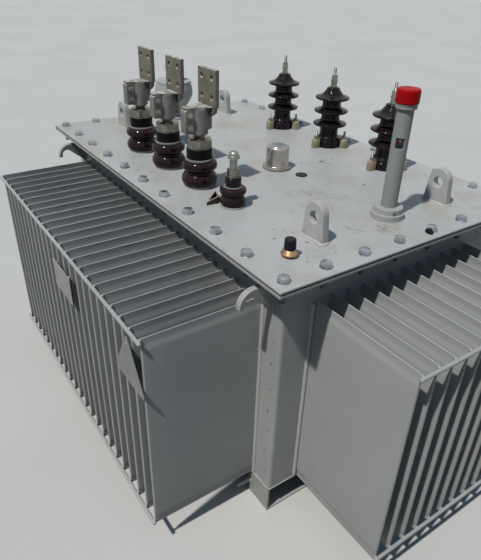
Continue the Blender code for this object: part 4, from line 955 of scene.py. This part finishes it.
# %% Low-voltage porcelain
LV_FIRST, LV_STEP, LV_Y = -0.266, 0.187, -0.280
LV_PLACES = [(LV_FIRST + n * LV_STEP, LV_Y, COVER_TOP) for n in range(3)]


def eased(points_mm, reach_mm, steps=6):
    """A lathe profile in millimetres with its corners eased, given back in metres."""
    return softened(np.array(points_mm) / 1000, np.array(reach_mm) / 1000, steps, closed=False)


seal = eased([(0, 0.3), (44, 0.3), (44.6, 3), (44, 6), (0, 6)], 1)
body = [(0, 5.9), (42.5, 5.9), (48, 8.5), (51.4, 18), (51, 27), (45.5, 36.5), (39.6, 41.2), (39.2, 44.5),
    (42.5, 49), (49, 53.5), (51, 61), (49.8, 68.5), (44.8, 74.6), (38, 75.6), (0, 75.6)]
body = eased(body, [1, 1, 2.5, 5, 5, 6, 3, 2.5, 4, 5, 4, 4, 3, 1, 1])
ring = eased([(0, 75.4), (39.4, 75.4), (40.2, 78.8), (39.4, 82), (0, 82)], 1)
ribs = [(35.7 + 0.5 * (n % 2), 84 + 2.4 * n) for n in range(11)]
neck = eased([(0, 81.8), (35.6, 81.8), *ribs, (35.8, 109.5), (34, 111), (0, 111)], 0.9)


def bushing(sides, neck_finish):
    """The seal, the glazed body, the pale ring and the neck, one on top of the other."""
    stack = [(lathe(seal), pale_rubber), (lathe(body, sides), glaze)]
    return stack + [(lathe(ring), ring_rubber), (lathe(neck), neck_finish)]


for number, place in enumerate(LV_PLACES, 1):
    parts = placed(bushing(72, neck_black), place)
    make_piece(f"lv_{number}_bushing", parts, 40, [f"lv_{number}_porcelain"])
print("low-voltage bushings:", len(LV_PLACES))

# %% Low-voltage studs
nut = hexagon(0.0665, 0.0262, 0.1130, 48, 0.42)
rod = thread(0.0165, 0.1300, 0.2090, 0.003, 32)
washer = disc(0.0345, 0.0026, 0.1108, 0.0008, 48)
for number, place in enumerate(LV_PLACES, 1):
    stud = shifted(turned(join(washer, nut, rod), 3 * number - 5), place)
    make_piece(f"lv_{number}_nut_and_thread", [(stud, tin)], 30, [f"lv_{number}_stud"])
print("low-voltage studs: 3")

# %% [markdown]
# ## Clamps with palms
# Each stud carries a cast clamp: a barrel, two ears that pinch it, two bolts through the ears, a
# plate over the top, and an upright palm with four holes. The palm is four tiles, each with one
# hole and rounded only where the palm ends, so the tiles meet without a line.

# %% Clamps and palms
CLAMP_TOP = 0.2218
PALM_TOP, PALM_HALF = 0.3168, 0.045
PALM_FRONT, PALM_BACK, PALM_HOLE = 0.024, 0.036, 0.007
CASTINGS = 4  # barrel, two ears and top plate come first; the palm's own shapes follow


def palm_tile(left, right, low, high, hole):
    """One quarter of the palm; a side is rounded where it lies on the palm's own edge."""
    outline = dense([(left, low), (right, low), (right, high), (left, high)], 0.004)
    inward = np.zeros_like(outline)
    inward[:, 0] = -np.sign(outline[:, 0]) * (np.abs(outline[:, 0]) > PALM_HALF - 1e-6)
    inward[:, 1] = -1.0 * (outline[:, 1] > PALM_TOP - 1e-6) + 1.0 * (outline[:, 1] < CLAMP_TOP + 1e-6)
    tile = holed_plate(outline, hole, PALM_HOLE, PALM_FRONT, PALM_BACK, 0.0013, inward)
    return stood(tile, (0, 2, 1))


def clamp_shapes():
    """Barrel, two ears and top plate, then the palm's root and tiles, all about the stud's axis."""
    barrel = eased([(0, 209.8), (17.5, 209.8), (17.5, 148.8), (24.2, 148.8), (25, 150), (25, 219),
        (22.5, 221.8), (0, 221.8)], [1, 1, 1, 1, 1, 2, 2, 1])
    shapes = [lathe(barrel, 48)]
    side = [(-0.0490, 0.1535), (0.0, 0.1515), (0.0335, 0.1620), (0.0335, 0.2225), (0.0, 0.2235),
        (-0.0300, 0.2215), (-0.0490, 0.2165)]
    side = softened(side, [0.006, 0.004, 0.002, 0.002, 0.004, 0.008, 0.007], 6)
    for near, far in ((-0.0140, -0.0007), (0.0007, 0.0140)):
        shapes.append(stood(slab(side, near, far, 0.0016), (2, 0, 1)))
    root = [(-0.0140, 0.1935), (0.0140, 0.1935), (0.0365, 0.2075), (0.0380, 0.2235), (-0.0380, 0.2235),
        (-0.0365, 0.2075)]
    shapes.append(stood(slab(softened(root, 0.003, 4), PALM_FRONT, PALM_BACK, 0.0013), (0, 2, 1)))
    top = [(-0.0135, -0.0470), (0.0135, -0.0470), (0.0142, -0.0240), (0.0228, -0.0110), (0.0242, 0.0120),
        (0.0330, 0.0245)]
    top += [(-0.0330, 0.0245), (-0.0242, 0.0120), (-0.0228, -0.0110), (-0.0142, -0.0240)]
    shapes.insert(3, slab(softened(top, 0.005, 5), 0.2192, 0.2238, 0.0018))
    low_hole, high_hole = PALM_TOP - 0.071, PALM_TOP - 0.021
    middle = (low_hole + high_hole) / 2
    for low, high, hole_z in ((CLAMP_TOP, middle, low_hole), (middle, PALM_TOP, high_hole)):
        shapes.append(palm_tile(0, PALM_HALF, low, high, (0.025, hole_z)))
        shapes.append(palm_tile(-PALM_HALF, 0, low, high, (-0.025, hole_z)))
    return shapes


def clamp_bolts():
    """Two bolts along X through the ears: washer and head on the right, washer, nut and end on the left."""
    right = join(disc(0.0095, 0.0016), hexagon(0.0145, 0.0065, 0.0016))
    left = join(disc(0.0095, 0.0016), hexagon(0.0145, 0.0065, 0.0016),
        thread(0.0042, 0.008, 0.012, 0.0015, 16))
    shapes = []
    for twist, z in ((10, 0.1700), (37, 0.2030)):
        shapes.append(shifted(stood(turned(right, twist), (2, 0, 1)), (0.014, -0.037, z)))
        mirrored = stood(turned(left, twist + 20), (2, 0, 1))
        shapes.append(shifted((mirrored[0] * [-1, 1, 1], mirrored[1]), (-0.014, -0.037, z)))
    return shapes


for number, place in enumerate(LV_PLACES, 1):
    shapes = [(shape, palm_metal if n >= CASTINGS else clamp_metal)
        for n, shape in enumerate(clamp_shapes())]
    shapes = placed(shapes + [(shape, stud_steel) for shape in clamp_bolts()], place)
    make_piece(f"lv_{number}_clamp_and_palm", shapes, 40, [f"lv_{number}_clamp"])
print("clamps: 3, palm holes: 12, clamp bolts: 6")

# %% [markdown]
# ## Neutral bushing
# The neutral is a smaller bushing of the same kind, with a glazed neck. Its stud carries a washer, a
# nut, a sleeve with a collar, and a domed end.

# %% Neutral bushing and stud
NEUTRAL_PLACE = (0.281, LV_Y, COVER_TOP)
seal = eased([(0, 0.3), (34.6, 0.3), (35, 2), (34.6, 4), (0, 4)], 0.6)
body = [(0, 3.9), (29, 3.9), (32.5, 5.5), (34.3, 13), (33.6, 20.5), (29.5, 27), (27.6, 30), (29, 33),
    (34, 37), (36, 43), (34.5, 49), (30, 52.6), (24, 53.1), (0, 53.1)]
body = eased(body, [1, 1, 2, 4, 4, 3, 2, 2, 3, 4, 3, 2, 1, 1])
ring = eased([(0, 53), (25.4, 53), (26, 54.5), (25.4, 56), (0, 56)], 0.5)
neck = eased([(0, 55.8), (21.2, 55.8), (21.5, 70), (21.5, 79), (19, 81), (0, 81)], 1)
make_piece("neutral_bushing", placed(bushing(64, dark_glaze), NEUTRAL_PLACE), 40,
    ["neutral_porcelain"])
sleeve = eased([(0, 102), (10, 102), (10, 129), (15.5, 129), (15.5, 136), (12, 136), (12, 143), (6, 148),
    (0, 148)], [0.3, 0.3, 0.8, 0.8, 1, 0.8, 3, 3, 1])
nut = turned(join(disc(0.018, 0.003, 0.0813), hexagon(0.029, 0.018, 0.0843, 48)), 14)
stem = placed([(nut, tin), (lathe(sleeve, 32), stud_steel)], NEUTRAL_PLACE)
make_piece("neutral_nut_and_stud", stem, 30, ["neutral_stud"])
print("neutral bushing ready")

# %% [markdown]
# ## Folded clip at the neutral's foot
# A small brown strip is folded to a trough that narrows to a tip, with a pale end by the porcelain.
# Only a ring of wall and a thin floor are needed: the outline goes up on the outside and comes down
# again, set in, on the inside, and its rim rises from the tip to the wide end. Its walls are a very
# dark brown, partly the strip's own brown and partly painted shade, and its rim is a tan band, a
# painted highlight of the lit edge.

# %% Clip


def trough(outline, rise, low, wall, rim):
    """A wall of this thickness on a narrow outline, with a band along its top that takes a lighter
    finish, a painted highlight of the lit edge.

    rise is the wall's height at each point of the outline, and rim is how deep that band is.
    """
    outside, inside = outline, inset(outline, wall)
    body = [(outside, low + 0 * rise), (outside, low + rise - rim), (inside, low + rise - rim),
        (inside, low + 0.002 + 0 * rise)]
    edge = [(inside, low + rise - rim), (outside, low + rise - rim), (outside, low + rise),
        (inside, low + rise)]
    body = tube([np.column_stack([points, z]) for points, z in body])
    edge = np.concatenate([np.column_stack([points, z]) for points, z in edge])
    return body, (edge, grid_faces(4, len(outline), close_rows=True))


tip, far, near = (0.2480, -0.3420), (0.2170, -0.2930), (0.2530, -0.3060)
plan = dense(softened([tip, near, far], [0.003, 0.006, 0.006], 6), 0.004)
share = np.clip(np.linalg.norm(plan - tip, axis=1) / 0.045, 0, 1)
body, rim = trough(plan, 0.009 + 0.014 * share, COVER_TOP + 0.0003, 0.0026, 0.0018)
# The walls' dark brown is partly painted shade; the tan rim is a painted highlight of the lit edge.
brown = soft_finish("clip_brown_and_painted_shade", (0.030, 0.020, 0.012), (0.065, 0.048, 0.034), 0.5, 0.7, 0.1)
tan_rim_painted_highlight = soft_finish("clip_tan_edge_painted_highlight", (0.40, 0.33, 0.28), (0.30, 0.25, 0.21), 0.5, 0.7)
cream = soft_finish("clip_pale_end", (0.50, 0.46, 0.42), (0.40, 0.37, 0.34), 0.5, 0.7)
end = shifted(turned(bead(0.017, 0.013, 0.022, 10, 14), 30), (0.2340, -0.2910, COVER_TOP + 0.0113))
make_piece("neutral_foot_clip", [(body, brown), (rim, tan_rim_painted_highlight), (end, cream)], 40)
print("clip:", len(body[1]) + len(rim[1]) + len(end[1]), "faces")

# %% [markdown]
# ## High-voltage bushings
# These stand taller and carry three sheds, which keep rain from making one wet path. A shed is a
# sloping top, a round rim and an undercut that drips. Cast claws hold each foot down, with a bolt
# in each claw.

# %% High-voltage porcelain
HV_FIRST, HV_STEP, HV_Y = -0.260, 0.265, 0.305
HV_PLACES = [(HV_FIRST + n * HV_STEP, HV_Y, COVER_TOP) for n in range(3)]
SHED_RIMS = (78, 121.5, 165)  # heights in millimetres


def hv_profile():
    """From the foot up to the head, with each shed's undercut, rim and slope about its rim height."""
    points = [(0, 0.3), (44.4, 0.3), (45, 2), (45, 22), (43, 24), (39, 24), (37.5, 31), (33, 36.5),
        (31, 43)]
    reach = [1, 1, 1, 2, 1, 1, 4, 4, 4]
    for rim in SHED_RIMS:
        points += [(31, rim - 15), (33.5, rim - 9), (51, rim - 5), (56, rim - 4.2), (58, rim - 0.5),
            (56.5, rim + 2.8)]
        points += [(48, rim + 5.6), (37, rim + 9.5), (31.5, rim + 15)]
        reach += [4, 5, 4, 1.5, 2, 1.5, 6, 6, 4]
    points += [(26, 187), (22.5, 190), (22.5, 195), (19.5, 198), (0, 198)]
    reach += [3, 2, 2, 2, 1]
    return eased(points, reach, 5)


for number, place in enumerate(HV_PLACES, 1):
    parts = [(shifted(lathe(hv_profile(), 72), place), dark_glaze)]
    make_piece(f"hv_{number}_bushing", parts, 50, [f"hv_{number}_porcelain"])
print("high-voltage bushings:", len(HV_PLACES), "profile points:", len(hv_profile()))

# %% High-voltage studs and claws
stack = [thread(0.005, 0.1983, 0.2600, 0.0015, 16)]
for low in (0.1983, 0.2173):
    stack.append(disc(0.0125, 0.003, low))
    stack.append(turned(hexagon(0.0185, 0.016, low + 0.003), low * 3000))
claw_plan = np.vstack([[[0.0478, 0.0115], [0.0478, -0.0115]], arc((0.0590, 0), 0.0122, -80, 80, 17)])
arm_side = [(0.0500, 0.0200), (0.0660, 0.0200), (0.0655, 0.0300), (0.0600, 0.0345), (0.0480, 0.0350),
    (0.0392, 0.0312), (0.0392, 0.0243), (0.0480, 0.0243)]
arm_side = softened(arm_side, [0.001, 0.002, 0.004, 0.004, 0.004, 0.002, 0.001, 0.002], 5)
claw = join(outward(slab(claw_plan, 0.0003, 0.0285, 0.002)),
    outward(stood(slab(arm_side, -0.006, 0.006, 0.0018), (0, 2, 1))))
claw_bolt = join(disc(0.0072, 0.0014, 0.0342), hexagon(0.011, 0.006, 0.0356),
    thread(0.0042, 0.041, 0.056, 0.0015, 16))
claw_bolt = shifted(claw_bolt, (0.0570, 0, 0))
for number, place in enumerate(HV_PLACES, 1):
    stud = shifted(join(*stack), place)
    make_piece(f"hv_{number}_nuts_and_stud", [(stud, stud_steel)], 30,
        [f"hv_{number}_stud"])
    for turn, side in enumerate(("front", "right", "left")):
        angle = -90 + turn * 120
        cast = tarnished_zinc if number == 3 else yellow_zinc
        parts = placed([(turned(claw, angle), cast), (turned(claw_bolt, angle), stud_steel)], place)
        make_piece(f"hv_{number}_{side}_claw_and_bolt", parts, 40,
            [f"hv_{number}_{side}_claw"])
print("high-voltage studs: 3, claws: 9")

# %% [markdown]
# ## Oil level gauge
# A tall tube on a stepped foot, with a sight window near the top and a red cap. Dark oil stands in
# the lower part of the window. The tube is a grid of angle and height. Its radius steps in where
# the angle and height fall inside a window, so the window is part of the same surface and needs no
# cutting.

# %% Oil level gauge
GAUGE_PLACE = (0.543, 0.027, COVER_TOP)
WINDOW_HALF, WINDOW_LOW, WINDOW_HIGH = 31, 0.183, 0.209  # half its width in degrees; heights
OIL_LEVEL = 0.1923
SCREW_TURN = -23


def windowed_tube(radius, low, high, windows, depth=0.0045):
    """The tube's outside in angle and height: radius less depth wherever the point is inside a window.

    Rows and columns are doubled at each window's edges, so its sides stay steep. windows are
    (facing in degrees, half width in degrees, lowest, highest).
    """
    edges = [facing + side * half for facing, half, z0, z1 in windows for side in (-1, 1)]
    angle = np.concatenate([np.linspace(-180, 180, 72, endpoint=False),
        *[[e - 0.4, e + 0.4] for e in edges]])
    levels = [z + step for window in windows for z in window[2:] for step in (-2e-4, 2e-4)]
    a, z = np.meshgrid(np.sort(angle), sorted({*np.linspace(low, high, 12), *levels}))
    inside = np.zeros(a.shape, bool)
    for facing, half, z0, z1 in windows:
        away = np.abs((a - facing + 180) % 360 - 180)
        inside |= (away < half) & (z > z0) & (z < z1)
    r = radius - depth * inside
    return tube(np.dstack([r * np.cos(np.radians(a)), r * np.sin(np.radians(a)), z]))


def pane(radius, facing, half, low, high):
    """A bent sheet for a window: its flat width becomes an angle round the tube."""
    wide = radius * radians(half)
    outline = dense([(-wide, low), (wide, low), (wide, high), (-wide, high)], 0.002)
    points, faces = slab(outline, 0, 0.0015, 0.0003)
    angle = radians(facing) + points[:, 0] / radius
    r = radius + points[:, 2]
    return np.column_stack([r * np.cos(angle), r * np.sin(angle), points[:, 1]]), faces


bed = eased([(0, 0.3), (45.2, 0.3), (44.8, 1.6), (0, 1.6)], 0.3)
foot = eased([(0, 1.5), (42.6, 1.5), (43, 2), (43, 14.2), (42, 15), (37.5, 15), (37.5, 29), (36.3, 30),
    (0, 30)], 0.5)
screw = join(disc(0.0044, 0.0016, -0.0008, 0.0004, 20), disc(0.0026, 0.0006, 0.0006, 0.0002, 16))
screw = shifted(turned(stood(screw, (2, 0, 1)), SCREW_TURN),
    (0.0375 * cos(radians(SCREW_TURN)), 0.0375 * sin(radians(SCREW_TURN)), 0.0215))
collar = [(0, 276), (25.4, 276), (26, 277), (26, 280.6), (24.6, 281.2), (24.6, 282.8), (26, 283.4),
    (26, 287.4), (0, 288)]
cap = eased([(0, 288.3), (27.2, 288.3), (28, 289.2), (28, 316), (26.5, 320), (22, 321.3), (0, 321.3)],
    [1, 0.6, 0.8, 2, 2.5, 2, 1])
windows = [(facing, WINDOW_HALF, WINDOW_LOW, WINDOW_HIGH) for facing in (-51, 129)]
parts = [(lathe(bed, 64), pale_rubber), (lathe(foot, 64), tank_paint), (screw, ring_rubber)]
parts += [(windowed_tube(0.0205, 0.0295, 0.2765, windows), gauge_paint),
    (lathe(eased(collar, 0.4), 48), gauge_paint)]
for facing, half, z0, z1 in windows:
    parts.append((pane(0.0162, facing, half - 2, 0.1925, 0.2085), sight_glass))
    parts.append((pane(0.0162, facing, half - 2, 0.1835, OIL_LEVEL), oil_dark))
make_piece("level_gauge", placed(parts, GAUGE_PLACE), 40, ["oil_gauge"])
make_piece("level_gauge_cap", placed([(lathe(cap), red_plastic)], GAUGE_PLACE), 40,
    ["oil_gauge_cap"])
print("gauge: foot, tube with", len(windows), "windows, collar and cap")

# %% [markdown]
# ## Tap changer cap, plug, thermometer pocket and filler
# All four are turned profiles. The tap changer's cap is a bright cup with a raised disc on a
# flange; the disc's bluish tone is a painted reflection of the sky. The filler is a wide bowl with
# a lid and a screw cap, on a flange with four bolts.

# %% Fittings on the cover
TAP_PLACE = (0.103, 0.004, COVER_TOP)
PLUG_PLACE = (0.196, 0.027, COVER_TOP)
POCKET_PLACE = (0.5816, -0.3276, COVER_TOP)
FILLER_PLACE = (-0.588, 0.013, COVER_TOP)
flange = eased([(0, 0.3), (44.4, 0.3), (45, 1), (45, 7.2), (44, 8), (0, 8)], 0.6)
cup = [(0, 7.8), (37.5, 7.8), (37.5, 11), (35.5, 11.5), (35.5, 63), (33.5, 69), (30, 70), (26.5, 70),
    (26.2, 71), (0, 71)]
cup = eased(cup, [1, 0.5, 0.5, 0.8, 4, 4, 1, 0.3, 0.4, 1])
lid = eased([(0, 70.5), (26, 70.5), (26, 71.2), (25, 71.6), (0, 71.8)], 0.3)
tap = [(lathe(flange, 64), flange_metal), (lathe(cup, 64), chrome), (lathe(lid, 64), lid_painted_sky_reflection)]
make_piece("tap_changer_cup", placed(tap, TAP_PLACE), 40, ["tap_changer_cap"])
plug = [(lathe(eased([(0, 0.3), (18, 0.3), (18, 2.4), (16.5, 3), (0, 3)], 0.5), 40), black_plastic)]
make_piece("plug", placed(plug, PLUG_PLACE), 40, ["blanking_plug"])
pocket = [(0, 0.3), (13.5, 0.3), (15.5, 1.5), (19.8, 5.6), (20.6, 7.4), (20, 9), (16, 14.5), (13.5, 18),
    (0, 18)]
pocket = eased(pocket, [1, 0.5, 1.5, 1, 0.6, 1, 3, 1, 1])
cap = eased([(0, 18.3), (13.6, 18.3), (14.1, 19.5), (13.1, 42), (11.2, 43.8), (0, 43.8)],
    [1, 0.5, 1, 1.5, 1.5, 1])
make_piece("thermometer_well", placed([(lathe(pocket, 40), brass)], POCKET_PLACE), 40,
    ["thermometer_pocket"])
make_piece("thermometer_well_cap", placed([(lathe(cap, 40), black_plastic)], POCKET_PLACE),
    40, ["thermometer_cap"])
bowl = [(0, 0.3), (55, 0.3), (55, 8), (34, 8), (34, 26), (42, 38), (60, 62), (72, 84), (74, 98), (73, 112),
    (68, 132)]
bowl += [(68, 142), (27, 142), (27, 185), (31, 185), (31, 203), (0, 203)]
bowl = eased(bowl, [1, 1, 1, 2, 6, 8, 10, 8, 8, 8, 2, 2, 3, 1, 1, 2, 1])
filler = [(lathe(bowl, 64), tank_paint)]
for n in range(4):
    bolt = join(disc(0.0095, 0.0015, 0.008), hexagon(0.015, 0.007, 0.0095))
    filler.append((turned(shifted(bolt, (0.0445, 0, 0)), 45 + 90 * n), zinc))
make_piece("filler", placed(filler, FILLER_PLACE), 40, ["oil_filler"])
print("fittings: tap changer cap, plug, thermometer pocket and cap, filler")

# %% [markdown]
# ## Plates on the fins
# Two bare plates stand off the fin tips on thin rails, one oblong and one three-cornered. Each is a
# thin slab with rounded corners, held by small rivets.

# %% Plates
PLATE_FRONT, PLATE_BACK, RAIL_BACK = -0.6923, -0.6903, -0.6843


def plate_with_rails(name, outline, rails, rail_low, rail_high, rivets, finish, node):
    """The slab, its upright rails and its rivets; a rivet is a shallow dome."""
    parts = [(stood(slab(outline, PLATE_FRONT, PLATE_BACK, 0.0004), (0, 2, 1)), finish)]
    for x in rails:
        bar = [(x - 0.003, rail_low), (x + 0.003, rail_low), (x + 0.003, rail_high), (x - 0.003, rail_high)]
        parts.append((stood(slab(bar, PLATE_BACK, RAIL_BACK, 0.0004), (0, 2, 1)), tank_paint))
    dome = lathe(eased([(0, -0.3), (3, -0.3), (3, 0.3), (1.8, 1.1), (0, 1.3)], 0.4), 16)
    for x, z in rivets:
        parts.append((shifted((dome[0][:, [0, 2, 1]] * [1, -1, 1], dome[1]), (x, PLATE_FRONT, z)), zinc))
    make_piece(name, parts, 40, [node])


oblong = softened([(-0.023, 0.527), (0.115, 0.527), (0.115, 0.617), (-0.023, 0.617)], 0.005)
corners = [(x, z) for x in (-0.017, 0.109) for z in (0.533, 0.611)]
plate_with_rails("oblong_plate", oblong, (0.0, 0.1), 0.531, 0.613, corners, plate_metal, "rating_plate")
triangle = [(0.413, 0.535), (0.571, 0.535), (0.492, 0.535 + 0.158 * sqrt(3) / 2)]
inner = [(0.434, 0.546), (0.550, 0.546), (0.492, 0.648)]
three = softened(triangle, 0.0173, 9)
plate_with_rails("three_cornered_plate", three, (0.45, 0.5), 0.539, 0.587, inner, plate_paint,
    "warning_plate")
print("plates: 2, both bare")

# %% [markdown]
# ## Floor, light and camera
# The camera stands where the photograph was taken, worked out from the cover's edges and both banks
# of fins. The light is a distant lamp high on the low-voltage side, as the sun stood, and a faint
# blue sky that is stronger overhead. The camera sees a pale floor and surround, while the light
# that reaches the object comes from a darker ground, so that its shaded sides stay dark.

# %% Floor
GROUND = (0.115, 0.11, 0.10)  # the tone from which light bounces up to the object


def plain_floor():
    points = np.array([[-60, -60, 0], [60, -60, 0], [60, 60, 0], [-60, 60, 0]], float)
    mesh = bpy.data.meshes.new("floor")
    mesh.from_pydata(points.tolist(), [], [[0, 1, 2, 3]])
    finish = new_finish("pale_floor", roughness=0.85)
    tone = blend(finish, step_between(finish, mottle(finish, 900, 3), 0.3, 0.8), (0.56, 0.555, 0.54),
        (0.52, 0.515, 0.50))
    rays = add_node(finish, "ShaderNodeLightPath")
    seen = add_node(finish, "ShaderNodeMath",
        {0: rays.outputs["Is Camera Ray"], 1: rays.outputs["Is Glossy Ray"]}, operation="MAXIMUM")
    seen = add_node(finish, "ShaderNodeMath", {0: seen.outputs[0], 1: rays.outputs["Is Transmission Ray"]},
        operation="MAXIMUM")
    feed(finish, "Base Color", blend(finish, seen.outputs[0], GROUND, tone))
    mesh.materials.append(finish)
    floor = bpy.data.objects.new("floor", mesh)
    bpy.context.scene.collection.objects.link(floor)
    floor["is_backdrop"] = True


plain_floor()

# %% Light
HORIZON, OVERHEAD = 0.05, 1.45  # the sky's strength as a share of its level


def sun_lamp(direction, level, softness_degrees, colour):
    """A distant lamp; at level 1 a surface that squarely faces it renders at its own colour."""
    lamp = bpy.data.lights.new("sun_side", "SUN")
    lamp.energy, lamp.angle, lamp.color = level * pi, radians(softness_degrees), colour
    obj = bpy.data.objects.new("sun_side", lamp)
    bpy.context.scene.collection.objects.link(obj)
    back = np.array(direction) / np.linalg.norm(direction)
    side = np.cross([0, 0, 1], back)
    side /= np.linalg.norm(side)
    rows = np.stack([side, np.cross(back, side), back], 1)
    obj.matrix_world = Matrix([[*rows[k], 3 * back[k]] for k in range(3)] + [[0, 0, 0, 1]])


def surround(sky, sky_level, backdrop):
    """Faint sky light, stronger overhead; the camera, gloss and glass see the pale backdrop instead.

    The strength is the level times HORIZON for a level direction and times OVERHEAD straight up, and
    goes evenly between them with the direction's height.
    """
    world = bpy.data.worlds.new("surround")
    bpy.context.scene.world = world
    world.use_nodes = True
    nodes, links = world.node_tree.nodes, world.node_tree.links
    light = nodes["Background"]
    light.inputs[0].default_value = (*sky, 1)
    direction = nodes.new("ShaderNodeTexCoord")
    height = nodes.new("ShaderNodeSeparateXYZ")
    links.new(direction.outputs["Generated"], height.inputs[0])
    fade = nodes.new("ShaderNodeMapRange")
    fade.inputs["To Min"].default_value = HORIZON * sky_level
    fade.inputs["To Max"].default_value = OVERHEAD * sky_level
    links.new(height.outputs["Z"], fade.inputs["Value"])
    links.new(fade.outputs[0], light.inputs[1])
    seen = nodes.new("ShaderNodeBackground")
    seen.inputs[0].default_value = (*backdrop, 1)
    rays = nodes.new("ShaderNodeLightPath")
    share = rays.outputs["Is Camera Ray"]
    for kind in ("Is Glossy Ray", "Is Transmission Ray"):
        both = nodes.new("ShaderNodeMath")
        both.operation = "MAXIMUM"
        links.new(share, both.inputs[0])
        links.new(rays.outputs[kind], both.inputs[1])
        share = both.outputs[0]
    mix = nodes.new("ShaderNodeMixShader")
    links.new(share, mix.inputs[0])
    links.new(light.outputs[0], mix.inputs[1])
    links.new(seen.outputs[0], mix.inputs[2])
    links.new(mix.outputs[0], nodes["World Output"].inputs[0])


surround((0.36, 0.66, 1.0), 0.23, (0.62, 0.62, 0.61))
sun_lamp((0.100, -0.492, 0.865), 0.96, 2.0, (1.0, 0.965, 0.92))
print("lamp and surround ready")

# %% Camera
FOCAL_PX, IMAGE_WIDTH, SENSOR_MM = 543.06, 481, 36.0


def photo_camera():
    """The rows are right, up and back: the camera's own axes in the object's frame."""
    camera = bpy.data.cameras.new("photo_view")
    camera.sensor_fit, camera.sensor_width = "HORIZONTAL", SENSOR_MM
    camera.lens = SENSOR_MM * FOCAL_PX / IMAGE_WIDTH
    camera.shift_y = -0.0056
    camera.clip_start, camera.clip_end = 0.05, 60
    right = (0.56160, 0.82696, 0.02720)
    up = (-0.43754, 0.26891, 0.85805)
    back = (0.70226, -0.49378, 0.51285)
    place = (1.3921, -1.0286, 1.3772)
    obj = bpy.data.objects.new("photo_view", camera)
    bpy.context.scene.collection.objects.link(obj)
    obj.matrix_world = Matrix([[right[k], up[k], back[k], place[k]] for k in range(3)] + [[0, 0, 0, 1]])
    bpy.context.scene.camera = obj


photo_camera()
bpy.context.scene.view_settings.view_transform = "Standard"

# %% [markdown]
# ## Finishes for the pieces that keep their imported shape
# The flange, the gasket and the tank's floor are flat and square, so they only get a finish.

# %% Give the carried-over nodes their finishes
PLAIN_FINISHES = {"light_grey_paint": tank_paint, "black_rubber": black_rubber}
slots = {part["node"]: part["material_slot"] for part in frame["record"]["subparts"]}
for node, obj in frame["nodes"].items():
    if not obj.hide_render:
        for material_slot in obj.material_slots:
            material_slot.material = PLAIN_FINISHES[slots[node]]
print("carried over:", sum(not o.hide_render for o in frame["nodes"].values()), "nodes")

# %% Measure and finish
low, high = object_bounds()
